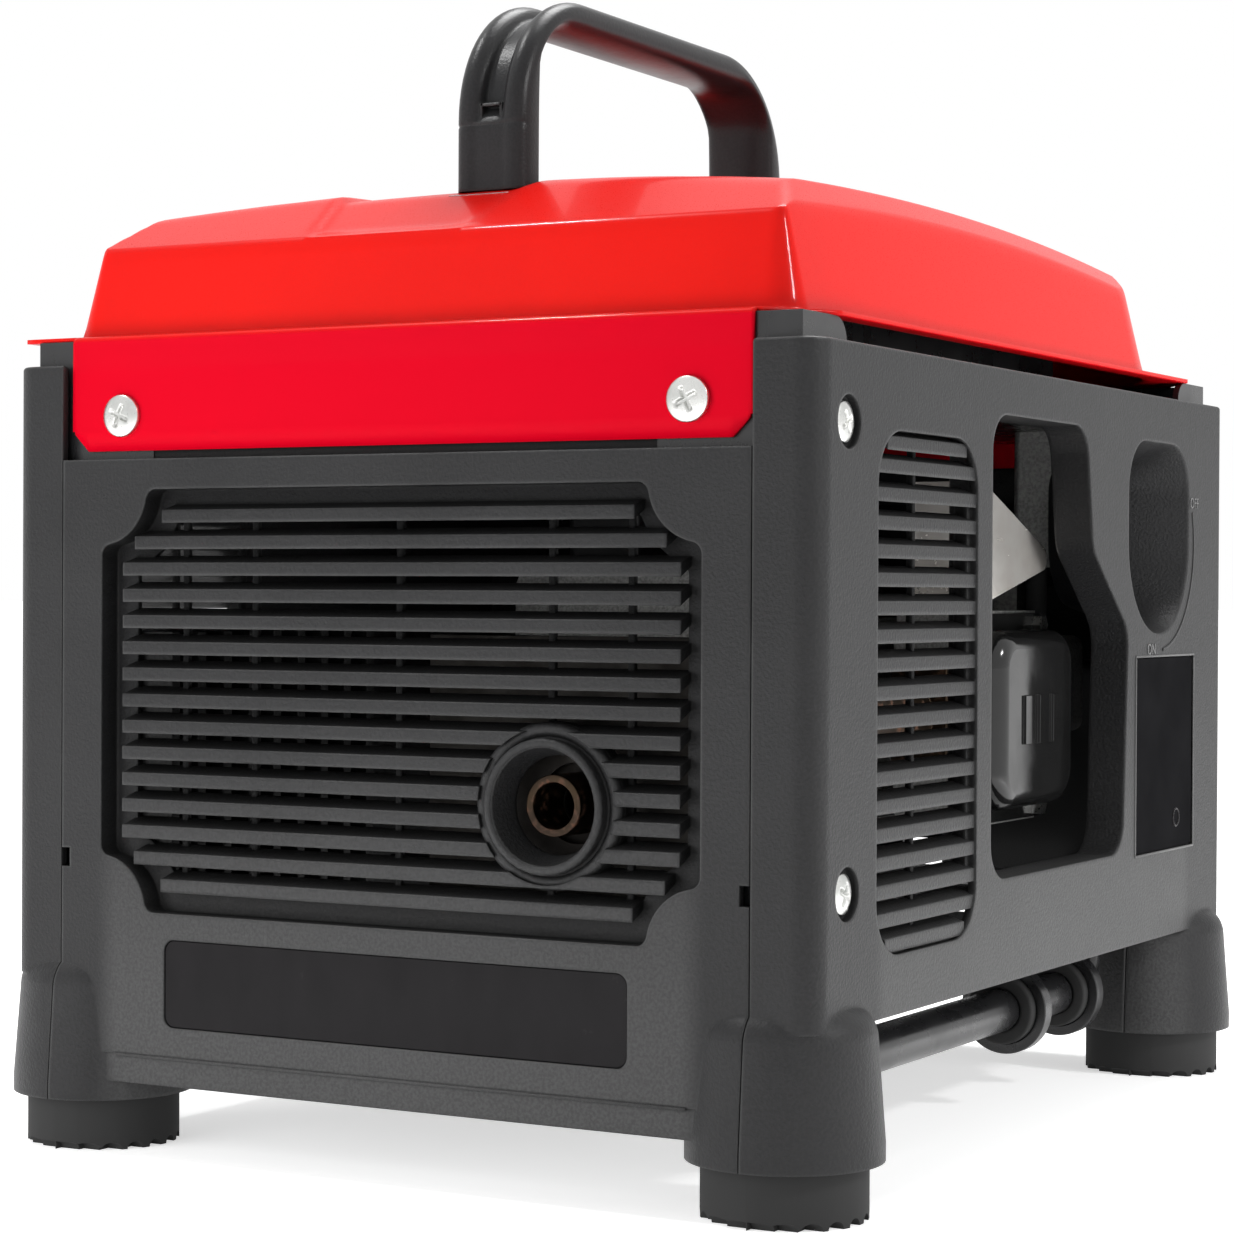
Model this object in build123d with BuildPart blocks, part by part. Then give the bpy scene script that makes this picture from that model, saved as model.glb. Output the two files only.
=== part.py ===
# Portable inverter generator with a red sheet-metal lid, black plastic panels and four rubber feet.
# Frame: +Z up, origin on the floor under the middle of the body, exhaust end at -Y, control end at +Y,
# right side (with the engine window) at +X. All sizes are millimetres.
import os
from math import cos, degrees, pi, radians, sin, sqrt

from build123d import *

os.makedirs("parts", exist_ok=True)

# Body shell
body_length = 394.0
body_width = 312.0
panel_wall = 3.0
corner_radius = 9.0
end_panel_width = 267.0
end_panel_top = 239.0
end_panel_bottom = 25.0
side_panel_top = 272.0
side_panel_bottom = 60.0
seam_gap = 0.4
skirt_height = 10.0
skirt_step = 1.0
seam_notch = (3.4, 6.5)
seam_notch_z = 101.5
boss_inset = 5.5
boss_drop = 16.0
boss_radius = 5.0
rim_fillet = 1.3
cut_margin = 1.0

# Feet and the boots that cover them
foot_inset_x = 22.0
foot_inset_y = 24.5
rubber_radius = 26.5
rubber_height = 30.0
rubber_scallops = 20
scallop_radius = 2.6
scallop_length = 8.0
stem_radius = 12.0
stem_clearance = 2.5
boot_radius = 31.5
boot_shoulder = 29.0
boot_shoulder_z = 57.0
boot_crown = 20.0
boot_top = 67.0
boot_rim_z = 24.0
boot_bottom = 18.0
boot_wall = 3.0
boot_bend = (0.62, 3.1)

# Steel frame: cross plates, bent tubes, corner posts
plate_z = 70.0
plate_thickness = 3.0
plate_depth = 80.0
frame_clearance = 3.0
tube_inset = 36.0
tube_z = 38.0
tube_radius = 8.0
tube_wall = 2.0
tube_bend = 16.0
tube_leg_inset = 69.0
post_inset_x = 8.0
post_inset_y = 5.0
post_thickness = 2.5
post_front_leg = 27.0
post_top_tab = 50.0
post_tab_z = 234.0
post_side_leg = 32.0
post_corner = 8.0

# Lid
flange_top = 282.0
lid_sheet = 1.5
flange_width = 299.0
flange_cut_x = 17.5
flange_cut_y = 26.0
apron_width = 264.0
apron_height = 40.0
apron_corner = 7.0
flange_tip = (155.0, 190.5)
dome_base = (282.0, 368.0)
dome_front_corner = 14.0
dome_rear_corner = 55.0
dome_draft = 13.0
dome_height = 56.0
dome_crown = ((145.0, 29.2), (121.0, 49.0), (70.0, 54.6))
dome_middle_y = -20.0
dome_fall = (0.028, 0.035)
dome_slope = ((-174.0, 33.0), (-137.0, 50.8))
channel_x = (-62.0, 17.0)
channel_depth = 5.7
channel_margin = 20.0
lid_screw_x = 110.0
lid_screw_z = 254.0

# Carrying handle
handle_width = 28.0
handle_front = -134.0
handle_length = 204.0
handle_top = 403.0
handle_thickness = 15.5
handle_outer_radius = 46.0
handle_groove = (8.0, 5.0)
handle_edge = 5.0
bracket_margin = 6.0
bracket_thickness = 2.5
handle_bolt_spacing = 14.0
handle_bolt_depth = 16.0
thread_end_gap = 1.0

# Fasteners
screw_radius = 3.0
screw_clearance = 0.2
lid_screw_head = (7.25, 3.2)
side_screw_head = (6.5, 2.6)
side_screw_recess = 8.5
side_screw_boss = 10.0
side_screw_inset = 22.0
side_screw_z = (101.5, 247.0)
rear_screw_inset = 15.0
rear_screw_boss = 6.5
screw_length = 12.0
bolt_head = (5.5, 4.0)

# Exhaust grille
grille_width = 232.8
grille_height = 144.6
grille_z = 156.3
grille_notch = 19.0
grille_fillet = 4.0
recess_depth = 9.0
recess_floor = 2.0
recess_wall = 2.5
grille_frame = 9.0
slat_count = 15
slat_pitch = 9.0
slat_face = 4.4
slat_back = 2.6
slat_rise = 3.4
slat_end_gap = 8.0
slat_setback = 1.6
grille_rib_x = (-87.0, -58.0, 0.0, 58.0, 87.0)
grille_rib = 2.2
collar_x = 60.0
collar_z = 126.0
collar_outer = 27.0
collar_rim = 21.6
collar_mouth = 19.0
collar_throat = 16.0
collar_step = 4.0
front_plate_size = (180.0, 30.0)
front_plate_centre = (1.0, 60.2)
plate_recess = 1.5
plate_sheet = 1.0
plate_margin = 0.4
plate_corner = 4.0

# Side louvres, engine window, lever scoop and rating plate
louvre_y = (-153.0, -71.0)
louvre_z = (79.0, 246.0)
louvre_count = 17
louvre_corner = 18.0
louvre_depth = 8.0
window_outline = ((-58.0, 256.0), (34.0, 256.0), (41.0, 211.0), (80.0, 181.0), (75.0, 96.0), (-58.0, 96.0))
window_fillet = 13.0
window_reveal = 15.0
scoop_y = (79.5, 150.5)
scoop_z = (179.0, 254.0)
scoop_corner = 20.0
scoop_depth = 34.0
scoop_taper = 20.0
rating_y = (89.0, 157.0)
rating_z = (94.0, 170.0)

# Engine
crank_x = -15.0
crank_z = 148.0
cylinder_y = 40.0
crankcase_x = (-70.0, 40.0)
crankcase_y = (10.0, 80.0)
crankcase_z = (88.0, 205.0)
crankcase_cavity = 42.0
case_fillet = 10.0
cover_thickness = 14.0
cover_sheet = 7.0
cover_boss = 24.0
cover_end = 3.0
oil_z = 112.0
oil_thread = 8.0
oil_depth = 10.0
oil_head = (12.0, 10.0)
shaft_radius = 12.0
running_gap = 0.05
web_radius = 38.0
crank_throw = 19.0
crank_web = 12.0
web_clearance = 4.0
cylinder_length = 55.0
cylinder_radius = 27.0
cylinder_bore = 21.0
fin_size = 74.0
fin_count = 6
fin_thickness = 2.4
fin_corner = 6.0
head_length = 23.0
head_size = 80.0
head_slots = 3
head_slot = (6.0, 12.0)
head_slot_pitch = 20.0
head_rim = 4.0
port_depth = 20.0
cover_length = 18.0
cover_width = 76.0
cover_height = 66.0
cover_flange = 2.5
cover_corner = 14.0
cover_round = 7.0
cover_ribs = 3
cover_rib = (6.0, 18.0, 1.0)
cover_rib_pitch = 14.0
cover_margin = 1.0
cover_bolt_offset = 34.5
cover_bolt_head = (4.0, 3.5)
plug_x = 104.0
plug_y = 48.0
plug_thread = 5.0
plug_seat = 12.0
plug_hex = (8.0, 7.0)
plug_insulator = 4.5
plug_height = 30.0
plug_cap_radius = 9.0
plug_cap_lift = 9.0
plug_cap_top = 8.0
plug_cap_round = 3.0
coil_x = (-58.0, -26.0)
coil_y = (22.0, 52.0)
coil_height = 20.0
coil_fillet = 4.0

# Flywheel, stator, fan shroud and recoil starter
rotor_rim = (47.0, 58.0)
rotor_y = (84.0, 107.0)
rotor_web = 4.0
fan_blades = 14
fan_length = 19.0
fan_blade = (30.0, 2.4)
fan_blade_radius = 42.0
hub_wall = 5.0
nose_length = 1.0
stator_outer = 45.0
stator_bore = 24.0
stator_y = (86.0, 104.0)
stator_poles = 12
stator_slot = 3.2
stator_slot_inset = 4.0
stator_foot = 6.0
shroud_inner = 66.0
shroud_wall = 3.0
shroud_end = 134.0
shroud_hole = 32.0
outlet_x = (-15.0, 40.0)
outlet_z = (148.0, 208.0)
outlet_end = 122.0
recoil_end = 158.0
recoil_wall = 2.5
recoil_post = 8.0
recoil_fillet = 6.0
recoil_slots = 8
recoil_slot = (24.0, 6.0)
recoil_slot_radius = 46.0
pulley_y = 140.0
pulley_width = 10.0
pulley_radius = 34.0
rope_radius = 2.0
pulley_groove = 30.0
pulley_groove_half = 2.5
rope_hole = 3.0

# Starter grip on the left side
grip_recess = (32.0, 58.0)
grip_recess_depth = 18.0
grip_size = (16.0, 46.0)
grip_depth = 14.0
grip_stem = 5.5
grip_proud = 4.0
grip_fillet = 4.0
rest_gap = 0.3

# Muffler, tail pipe and heat guards
muffler_x = (5.0, 115.0)
muffler_y = (-170.0, -105.0)
muffler_z = (95.0, 176.0)
muffler_fillet = 12.0
muffler_wall = 2.0
muffler_leg_x = ((20.0, 40.0), (80.0, 100.0))
muffler_leg_y = (-150.0, -130.0)
shield_gap = 4.0
shield_sheet = 1.2
shield_margin = 4.0
shield_flange_y = -140.0
shield_flange_inset = 20.0
shield_hole = 13.0
tail_radius = 10.0
tail_bore = 7.5
tail_reach = 20.0
pipe_x = 100.0
pipe_z = 150.0
pipe_radius = 12.0
pipe_bore = 10.0
pipe_flange = (22.0, 34.0, 5.0)
guard_outline = ((-30.0, 234.0), (2.0, 232.0), (58.0, 211.0), (58.0, 204.0), (0.0, 191.5), (-30.0, 189.5))
guard_width = 16.0
guard_sheet = 1.5
guard_corner = 2.5
guard_inset = 3.0
guard_tab_y = (4.0, 20.0)
guard_tab_rise = 14.0
guard_foot = 16.0

# Intake: carburettor, air filter, choke
carb_x = (92.0, 122.0)
carb_y = (80.0, 122.0)
carb_z = (140.0, 178.0)
carb_bore = 9.0
carb_fillet = 5.0
bowl_radius = 15.0
bowl_height = 18.0
air_box_x = (62.0, 145.0)
air_box_y = (122.0, 162.0)
air_box_top = 168.0
air_box_wall = 2.5
air_box_fillet = 6.0
element_gap = 6.0
choke_x = 92.0
choke_z = 200.0
choke_rod = 2.5
choke_knob = 8.0
choke_travel = 12.0
choke_knob_length = 14.0
choke_knob_edge = 2.0
choke_lug = (10.0, 8.0, 7.0)
choke_overlap = 4.0

# Fuel tank, cap, tap and lever
tray_z = 258.5
tray_sheet = 1.5
tray_inset = 18.0
tank_x = (-118.0, 105.0)
tank_y = (-100.0, 140.0)
tank_top = 312.0
tank_wall = 2.5
tank_fillet = 10.0
filler_x = -83.5
filler_y = 60.0
neck_radius = 17.5
neck_bore = 14.5
neck_hole_gap = 1.5
filler_seat = 335.0
neck_rise = 11.0
fuel_cap_radius = 26.0
fuel_cap_height = 15.0
fuel_cap_lift = 1.0
cap_notches = 20
cap_notch = 2.2
cap_notch_out = 1.0
cap_edge = 2.0
lever_y = 115.0
lever_z = 216.0
lever_hub = 9.0
lever_arm = 19.0
lever_shaft = 4.0
lever_thickness = 8.0
lever_half = 4.0
lever_round = 3.0
lever_shaft_depth = 8.0
tap_x = (98.0, 118.0)
tap_bottom = 205.0
tap_half = 10.0
tap_fillet = 4.0
hose_y = 110.0
hose_x = 107.0
hose_radius = 4.0
hose_bore = 2.0

# Inverter module
inverter_x = (-140.0, -95.0)
inverter_y = (-185.0, -60.0)
inverter_top = 180.0
inverter_fins = 9
inverter_fin_depth = 16.0
inverter_fin = 4.6

# Engine cradle and rubber sleeves
cradle_thickness = 4.0
cradle_y = (2.0, 78.0)
cradle_half = 128.0
rail_width = 16.0
sleeve_y = (48.0, 104.0)
sleeve_radius = 13.0
sleeve_length = 15.0
eye_wall = 4.0
eye_width = 7.0

# Control end
control_width = 232.0
control_z = (124.0, 226.0)
control_depth = 12.0
control_corner = 10.0
socket_x = (-12.0, 52.0)
socket_z = 172.0
socket_flange = 26.0
socket_body = 22.0
socket_cup = 19.5
socket_cup_depth = 16.0
socket_depth = 20.0
socket_flange_thickness = 3.0
lid_disc = 25.0
lid_disc_thickness = 3.0
lid_hinge_rise = 28.5
lid_pin = 2.0
lid_knuckle = 3.0
lid_tab_half = 7.7
lid_tab_reach = 6.0
ear_x = 11.0
ear_half = 3.0
ear_round = 3.5
hinge_stand = 5.0
pin_hole = 2.5
pin_hole_x = 9.5
socket_floor = 2.0
dc_x = -58.0
dc_z = 195.0
dc_radius = 11.0
dc_bore = 7.0
dc_depth = 15.0
dc_floor = 3.0
dc_step = 2.0
switch_x = -98.0
switch_z = (160.0, 195.0)
switch_size = (14.0, 22.0)
switch_tilt = 10.0
rocker_outline = ((-5.0, -9.0), (4.5, -9.2), (2.0, 0.0), (4.5, 9.2), (-5.0, 9.0))
rocker_sink = 1.5
button_x = -58.0
button_z = 160.0
button_radius = 6.0
button_travel = 3.0
button_stand = 1.0
button_length = 16.0
button_collar = (8.0, 3.0)
lamp_x = -78.0
lamp_z = (150.0, 162.0, 174.0)
lamp_radius = 3.0
lamp_bezel = (4.2, 1.0)
lamp_length = 8.0
earth_x = -100.0
earth_z = 108.0
earth_radius = 4.0
earth_washer = (8.0, 2.0)
earth_nut = (8.0, 3.0)
earth_length = 16.0
intake_slots = 6
intake_slot = (70.0, 4.5)
intake_pitch = 9.0
intake_z = 50.0
intake_x = 48.0

# Values that follow from the sizes above
half_length = body_length / 2
half_width = body_width / 2
seam = end_panel_width / 2
inner_x = half_width - panel_wall
inner_y = half_length - panel_wall
foot_x = half_width - foot_inset_x
foot_y = half_length - foot_inset_y
plate_top = plate_z + plate_thickness
tube_x = half_width - tube_inset
tube_leg_y = half_length - tube_leg_inset
post_x = half_width - post_inset_x
post_y = half_length - post_inset_y
flange_z = flange_top - lid_sheet
plateau_z = flange_top + dome_height
handle_seat = plateau_z - channel_depth
bracket_top = handle_seat - lid_sheet
bracket_z = bracket_top - bracket_thickness
handle_back = handle_front + handle_length
leg_y = (handle_front + handle_thickness / 2, handle_back - handle_thickness / 2)
side_screw_y = half_length - side_screw_inset
rear_screw_x = half_width - rear_screw_inset
head_x = crankcase_x[1] + cylinder_length
valve_x = head_x + head_length
head_top = crank_z + head_size / 2
rope_z = crank_z + pulley_groove
fascia_y = half_length - control_depth
grip_floor_x = half_width - grip_recess_depth
case_face = crankcase_y[1]
head_low = crank_z - head_size / 2
head_front = cylinder_y - head_size / 2
head_back = cylinder_y + head_size / 2
hinge_y = fascia_y + hinge_stand
carb_mid_x = (carb_x[0] + carb_x[1]) / 2
carb_mid_y = (carb_y[0] + carb_y[1]) / 2


def end_plane(y):
    """Plane across the body at a place along Y, with X and Z as its own axes and its normal along -Y."""
    return Plane((0, y, 0), x_dir=(1, 0, 0), z_dir=(0, -1, 0))


def side_plane(x):
    """Plane along the body at a place along X, with Y and Z as its own axes and its normal along +X."""
    return Plane((x, 0, 0), x_dir=(0, 1, 0), z_dir=(1, 0, 0))


def slab(x, y, z, mode=Mode.ADD):
    """Box between two limits on each axis."""
    with Locations(((x[0] + x[1]) / 2, (y[0] + y[1]) / 2, (z[0] + z[1]) / 2)):
        Box(abs(x[1] - x[0]), abs(y[1] - y[0]), abs(z[1] - z[0]), mode=mode)


def rod_x(y, z, radius, x, mode=Mode.ADD):
    """Cylinder along X between two limits."""
    with Locations(Location(((x[0] + x[1]) / 2, y, z), (0, 90, 0))):
        Cylinder(radius, abs(x[1] - x[0]), mode=mode)


def rod_y(x, z, radius, y, mode=Mode.ADD):
    """Cylinder along Y between two limits."""
    with Locations(Location((x, (y[0] + y[1]) / 2, z), (90, 0, 0))):
        Cylinder(radius, abs(y[1] - y[0]), mode=mode)


def rod_z(x, y, radius, z, mode=Mode.ADD):
    """Cylinder along Z between two limits."""
    with Locations((x, y, (z[0] + z[1]) / 2)):
        Cylinder(radius, abs(z[1] - z[0]), mode=mode)


def save(piece, name):
    """Label a finished piece and write it."""
    piece.part.label = name
    export_step(piece.part, f"parts/{name}.step")


def ordered(a, b):
    """Two limits, the lower first."""
    return (min(a, b), max(a, b))


# Boots over the feet
def boot_body(side, end, inset, bottom):
    """Solid bell of a boot, drawn in by an inset, at the corner given by two signs."""
    axis_x = side * foot_x
    axis_y = end * foot_y
    with BuildPart() as bell:
        with BuildSketch(Plane((axis_x, axis_y, 0), x_dir=(1, 0, 0), z_dir=(0, -1, 0))):
            with BuildLine():
                crown = Line((0, boot_top - inset), (boot_crown - inset / 2, boot_top - inset))
                shoulder = (boot_shoulder - inset, boot_shoulder_z)
                bend_x = (crown @ 1).X + (shoulder[0] - (crown @ 1).X) * boot_bend[0]
                bend = ThreePointArc(crown @ 1, (bend_x, boot_top - inset - boot_bend[1]), shoulder)
                Polyline(bend @ 1, (boot_radius - inset, boot_rim_z), (boot_radius - inset, bottom), (0,
                                                                                                      bottom),
                         crown @ 0)
            make_face()
        revolve(axis=Axis((axis_x, axis_y, 0), (0, 0, 1)))
    return bell.part


def boot_half(side, end, outward):
    """Half of a boot's shell: the part outside or inside the seam between two panels."""
    with BuildPart() as shell:
        add(boot_body(side, end, 0, boot_bottom))
        add(boot_body(side, end, boot_wall, boot_bottom - boot_wall), mode=Mode.SUBTRACT)
        rod_z(side * foot_x, end * foot_y, stem_radius + stem_clearance, (boot_bottom, boot_top + boot_wall),
              mode=Mode.SUBTRACT)
        seam_plane = Plane((side * (seam + outward * seam_gap / 2), 0, 0), x_dir=(0, 1, 0), z_dir=(side, 0,
                                                                                                   0))
        split(bisect_by=seam_plane, keep=Keep.TOP if outward > 0 else Keep.BOTTOM)
    return shell.part


def end_panel_blank(end):
    """Plain end panel with its skirt, its two half boots and the bosses that meet the corner posts."""
    outer = end * half_length
    inner = end * inner_y
    half = seam - seam_gap / 2
    with BuildPart() as blank:
        slab((-half, half), ordered(outer, inner), (end_panel_bottom, end_panel_top))
        slab((-half, half), ordered(outer, outer - end * skirt_step),
             (end_panel_bottom, end_panel_bottom + skirt_height), mode=Mode.SUBTRACT)
        for side in (-1, 1):
            add(boot_body(side, end, 0, 0), mode=Mode.SUBTRACT)
            add(boot_half(side, end, -1))
            slab(ordered(side * half, side * (half - seam_notch[0])), ordered(outer, inner),
                 (seam_notch_z - seam_notch[1] / 2, seam_notch_z + seam_notch[1] / 2), mode=Mode.SUBTRACT)
            for height in side_screw_z:
                rod_y(side * (half - boss_inset), height - boss_drop, boss_radius, ordered(inner,
                                                                                           end * post_y))
    return blank.part


def side_panel_blank(side):
    """Plain side panel with its returns round the corners, its outer half boots and its screw bosses."""
    edge = seam + seam_gap / 2
    with BuildPart() as blank:
        with BuildSketch(Plane.XY.offset(side_panel_bottom)) as plan:
            with Locations((side * (edge + half_width) / 2, 0)):
                Rectangle(half_width - edge, body_length)
            fillet(plan.vertices().group_by(Axis.X)[-1 if side > 0 else 0], corner_radius)
        extrude(amount=side_panel_top - side_panel_bottom)
        with BuildSketch(Plane.XY.offset(side_panel_bottom)) as hollow:
            with Locations((side * (edge - panel_wall + inner_x) / 2, 0)):
                Rectangle(inner_x - edge + panel_wall, 2 * inner_y)
            fillet(hollow.vertices().group_by(Axis.X)[-1 if side > 0 else 0], corner_radius - panel_wall)
        extrude(amount=side_panel_top - side_panel_bottom, mode=Mode.SUBTRACT)
        fillet(blank.faces().sort_by(Axis.Z)[-1].outer_wire().edges(), rim_fillet)
        for end in (-1, 1):
            add(boot_body(side, end, 0, 0), mode=Mode.SUBTRACT)
            add(boot_half(side, end, 1))
        for height in side_screw_z:
            rod_x(-side_screw_y, height, side_screw_boss, ordered(side * post_x, side * inner_x))
            rod_x(-side_screw_y, height, side_screw_recess, ordered(side * inner_x,
                                                                    side * (half_width + cut_margin)),
                  mode=Mode.SUBTRACT)
            rod_x(-side_screw_y, height, screw_radius + screw_clearance, ordered(side * post_x,
                                                                                 side * inner_x),
                  mode=Mode.SUBTRACT)
            rod_y(side * rear_screw_x, height, rear_screw_boss, (post_y, inner_y))
            rod_y(side * rear_screw_x, height, screw_radius + screw_clearance, (post_y, half_length),
                  mode=Mode.SUBTRACT)
    return blank.part


def louvre_window():
    """Outline of a louvred window in side-panel coordinates."""
    with BuildSketch() as outline:
        with Locations(((louvre_y[0] + louvre_y[1]) / 2, (louvre_z[0] + louvre_z[1]) / 2)):
            RectangleRounded(louvre_y[1] - louvre_y[0], louvre_z[1] - louvre_z[0], louvre_corner)
    return outline.sketch


def louvre_slats(side):
    """Tilted slats of a louvred side window and the rib behind them."""
    face_x = side * (half_width - slat_setback / 2)
    back_x = side * (half_width - louvre_depth)
    middle = (louvre_z[0] + louvre_z[1]) / 2
    y_low, y_high = louvre_y
    with BuildPart() as slats:
        for row in range(louvre_count):
            z = middle + (row - (louvre_count - 1) / 2) * slat_pitch
            near = min(z - louvre_z[0], louvre_z[1] - z)
            drop = louvre_corner - sqrt(max(louvre_corner**2 - max(louvre_corner - near, 0)**2, 0))
            with BuildSketch(end_plane(y_low + drop - panel_wall / 2)):
                Polygon((face_x, z - slat_face / 2), (face_x, z + slat_face / 2),
                        (back_x, z + slat_back / 2 + slat_rise), (back_x, z - slat_back / 2 + slat_rise),
                        align=None)
            extrude(amount=-(y_high - y_low - 2 * drop + panel_wall))
        for share in (-1, 1):
            y = (y_low + y_high) / 2 + share * (y_high - y_low) / 2
            slab(ordered(side * inner_x, back_x), (y - grille_rib, y + grille_rib),
                 (louvre_z[0] + louvre_corner, louvre_z[1] - louvre_corner))
        rib_y = (y_low + y_high) / 2
        slab(ordered(back_x, back_x + side * grille_rib), (rib_y - grille_rib / 2, rib_y + grille_rib / 2),
             (louvre_z[0] - panel_wall, louvre_z[1] + panel_wall))
        for z in (louvre_z[0] - panel_wall, louvre_z[1] + panel_wall):
            slab(ordered(back_x, side * inner_x), (rib_y - grille_rib / 2, rib_y + grille_rib / 2),
                 (z - grille_rib, z + grille_rib))
    return slats.part


def grille_outline(margin):
    """Outline of the exhaust grille recess grown by a margin: a rectangle with hollow-cut corners."""
    with BuildSketch() as outline:
        with Locations((0, grille_z)):
            Rectangle(grille_width + 2 * margin, grille_height + 2 * margin)
        with Locations((0, grille_z)):
            with GridLocations(grille_width, grille_height, 2, 2):
                Circle(grille_notch - margin, mode=Mode.SUBTRACT)
        fillet(outline.vertices(), grille_fillet)
    return outline.sketch


# Exhaust end panel with its louvred grille and the exhaust collar
slat_front_y = -half_length + slat_setback
recess_back_y = -half_length + recess_depth + recess_floor
grille_top = grille_z + grille_height / 2
with BuildPart() as exhaust_end_panel:
    add(end_panel_blank(-1))
    with BuildSketch(end_plane(-half_length)):
        add(grille_outline(recess_wall))
    extrude(amount=-(recess_depth + recess_floor))
    with BuildSketch(end_plane(-half_length)):
        add(grille_outline(0))
    extrude(amount=-recess_depth, mode=Mode.SUBTRACT)
    with BuildSketch(end_plane(-half_length)):
        add(grille_outline(-grille_frame))
    extrude(amount=-(recess_depth + recess_floor), mode=Mode.SUBTRACT)
    for row in range(slat_count):
        z = grille_z + ((slat_count - 1) / 2 - row) * slat_pitch
        edge = grille_height / 2 - abs(z - grille_z)
        bite = sqrt(grille_notch**2 - edge**2) if edge < grille_notch else 0
        reach = grille_width / 2 - bite - slat_end_gap
        with BuildSketch(side_plane(0)):
            Polygon((slat_front_y, z - slat_face / 2), (slat_front_y, z + slat_face / 2),
                    (recess_back_y, z + slat_back / 2 + slat_rise), (recess_back_y,
                                                                     z - slat_back / 2 + slat_rise),
                    align=None)
        extrude(amount=reach, both=True)
    for x in grille_rib_x:
        slab((x - grille_rib / 2, x + grille_rib / 2), (recess_back_y - recess_floor, recess_back_y),
             (grille_z - grille_height / 2 + grille_frame / 2, grille_top - grille_frame / 2))
    rod_y(collar_x, collar_z, collar_outer - collar_step / 2, (-half_length, recess_back_y),
          mode=Mode.SUBTRACT)
    with BuildSketch(Plane((collar_x, -half_length, collar_z), x_dir=(1, 0, 0), z_dir=(0, 0, 1))):
        with BuildLine():
            Polyline((collar_mouth, 0), (collar_rim, 0), (collar_rim, collar_step),
                     (collar_outer, collar_step + slat_setback), (collar_outer, recess_depth + recess_floor),
                     (collar_throat, recess_depth + recess_floor), (collar_mouth, 0))
        make_face()
    revolve(axis=Axis((collar_x, -half_length, collar_z), (0, 1, 0)))
    with BuildSketch(end_plane(-half_length)):
        with Locations(front_plate_centre):
            RectangleRounded(*front_plate_size, plate_corner)
    extrude(amount=-plate_recess, mode=Mode.SUBTRACT)
save(exhaust_end_panel, "exhaust_end_panel")

with BuildPart() as front_plate:
    with BuildSketch(end_plane(-half_length + plate_recess)):
        with Locations(front_plate_centre):
            RectangleRounded(front_plate_size[0] - 2 * plate_margin, front_plate_size[1] - 2 * plate_margin,
                             plate_corner - plate_margin)
    extrude(amount=plate_sheet)
save(front_plate, "front_plate")

# Right side panel with louvres, engine window, fuel lever scoop and rating plate recess
scoop_centre = ((scoop_y[0] + scoop_y[1]) / 2, (scoop_z[0] + scoop_z[1]) / 2)
scoop_half = (scoop_y[1] - scoop_y[0]) / 2


def scoop_outline(margin):
    """Outline of the lever scoop grown by a margin: round below, rounded corners above."""
    with BuildSketch() as outline:
        low = scoop_z[0] + scoop_half
        with Locations((scoop_centre[0], (low + scoop_z[1] + margin) / 2)):
            Rectangle(2 * (scoop_half + margin), scoop_z[1] + margin - low)
        fillet(outline.vertices().group_by(Axis.Y)[-1], scoop_corner + margin)
        with Locations((scoop_centre[0], low)):
            Circle(scoop_half + margin)
    return outline.sketch


def window_face(margin):
    """Outline of the engine window grown by a margin."""
    with BuildSketch() as outline:
        Polygon(*window_outline, align=None)
        fillet(outline.vertices(), window_fillet)
        if margin > 0:
            offset(amount=margin)
    return outline.sketch


with BuildPart() as right_side_panel:
    add(side_panel_blank(1))
    with BuildSketch(side_plane(inner_x)):
        add(window_face(recess_wall))
    extrude(amount=-(window_reveal - panel_wall))
    with BuildSketch(side_plane(half_width)):
        add(window_face(0))
    extrude(amount=-window_reveal, mode=Mode.SUBTRACT)
    with BuildSketch(side_plane(half_width)):
        add(louvre_window())
    extrude(amount=-panel_wall, mode=Mode.SUBTRACT)
    add(louvre_slats(1))
    with BuildSketch(side_plane(half_width - panel_wall / 2)):
        add(scoop_outline(recess_wall))
    extrude(amount=-(scoop_depth + recess_wall - panel_wall / 2), taper=scoop_taper)
    with BuildSketch(side_plane(half_width)):
        add(scoop_outline(0))
    extrude(amount=-scoop_depth, taper=scoop_taper, mode=Mode.SUBTRACT)
    rod_x(lever_y, lever_z, lever_shaft + rest_gap, (half_width - scoop_depth - 2 * recess_wall, half_width),
          mode=Mode.SUBTRACT)
    slab((half_width - plate_recess, half_width), rating_y, rating_z, mode=Mode.SUBTRACT)
save(right_side_panel, "right_side_panel")

with BuildPart() as rating_plate:
    slab((half_width - plate_recess, half_width - plate_recess + plate_sheet),
         (rating_y[0] + plate_margin, rating_y[1] - plate_margin),
         (rating_z[0] + plate_margin, rating_z[1] - plate_margin))
    fillet(rating_plate.edges().filter_by(Axis.X), plate_corner)
save(rating_plate, "rating_plate")

# Left side panel with a louvred window and the recess for the starter grip
with BuildPart() as left_side_panel:
    add(side_panel_blank(-1))
    with BuildSketch(side_plane(-half_width)):
        add(louvre_window())
    extrude(amount=panel_wall, mode=Mode.SUBTRACT)
    add(louvre_slats(-1))
    with BuildSketch(side_plane(-half_width + panel_wall / 2)):
        with Locations((pulley_y, rope_z)):
            RectangleRounded(grip_recess[0] + 2 * recess_wall, grip_recess[1] + 2 * recess_wall, plate_corner)
    extrude(amount=grip_recess_depth + recess_wall - panel_wall / 2)
    with BuildSketch(side_plane(-half_width)):
        with Locations((pulley_y, rope_z)):
            RectangleRounded(*grip_recess, plate_corner)
    extrude(amount=grip_recess_depth, mode=Mode.SUBTRACT)
    rod_x(pulley_y, rope_z, rope_hole, (-half_width, -grip_floor_x + 2 * recess_wall), mode=Mode.SUBTRACT)
save(left_side_panel, "left_side_panel")

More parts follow.
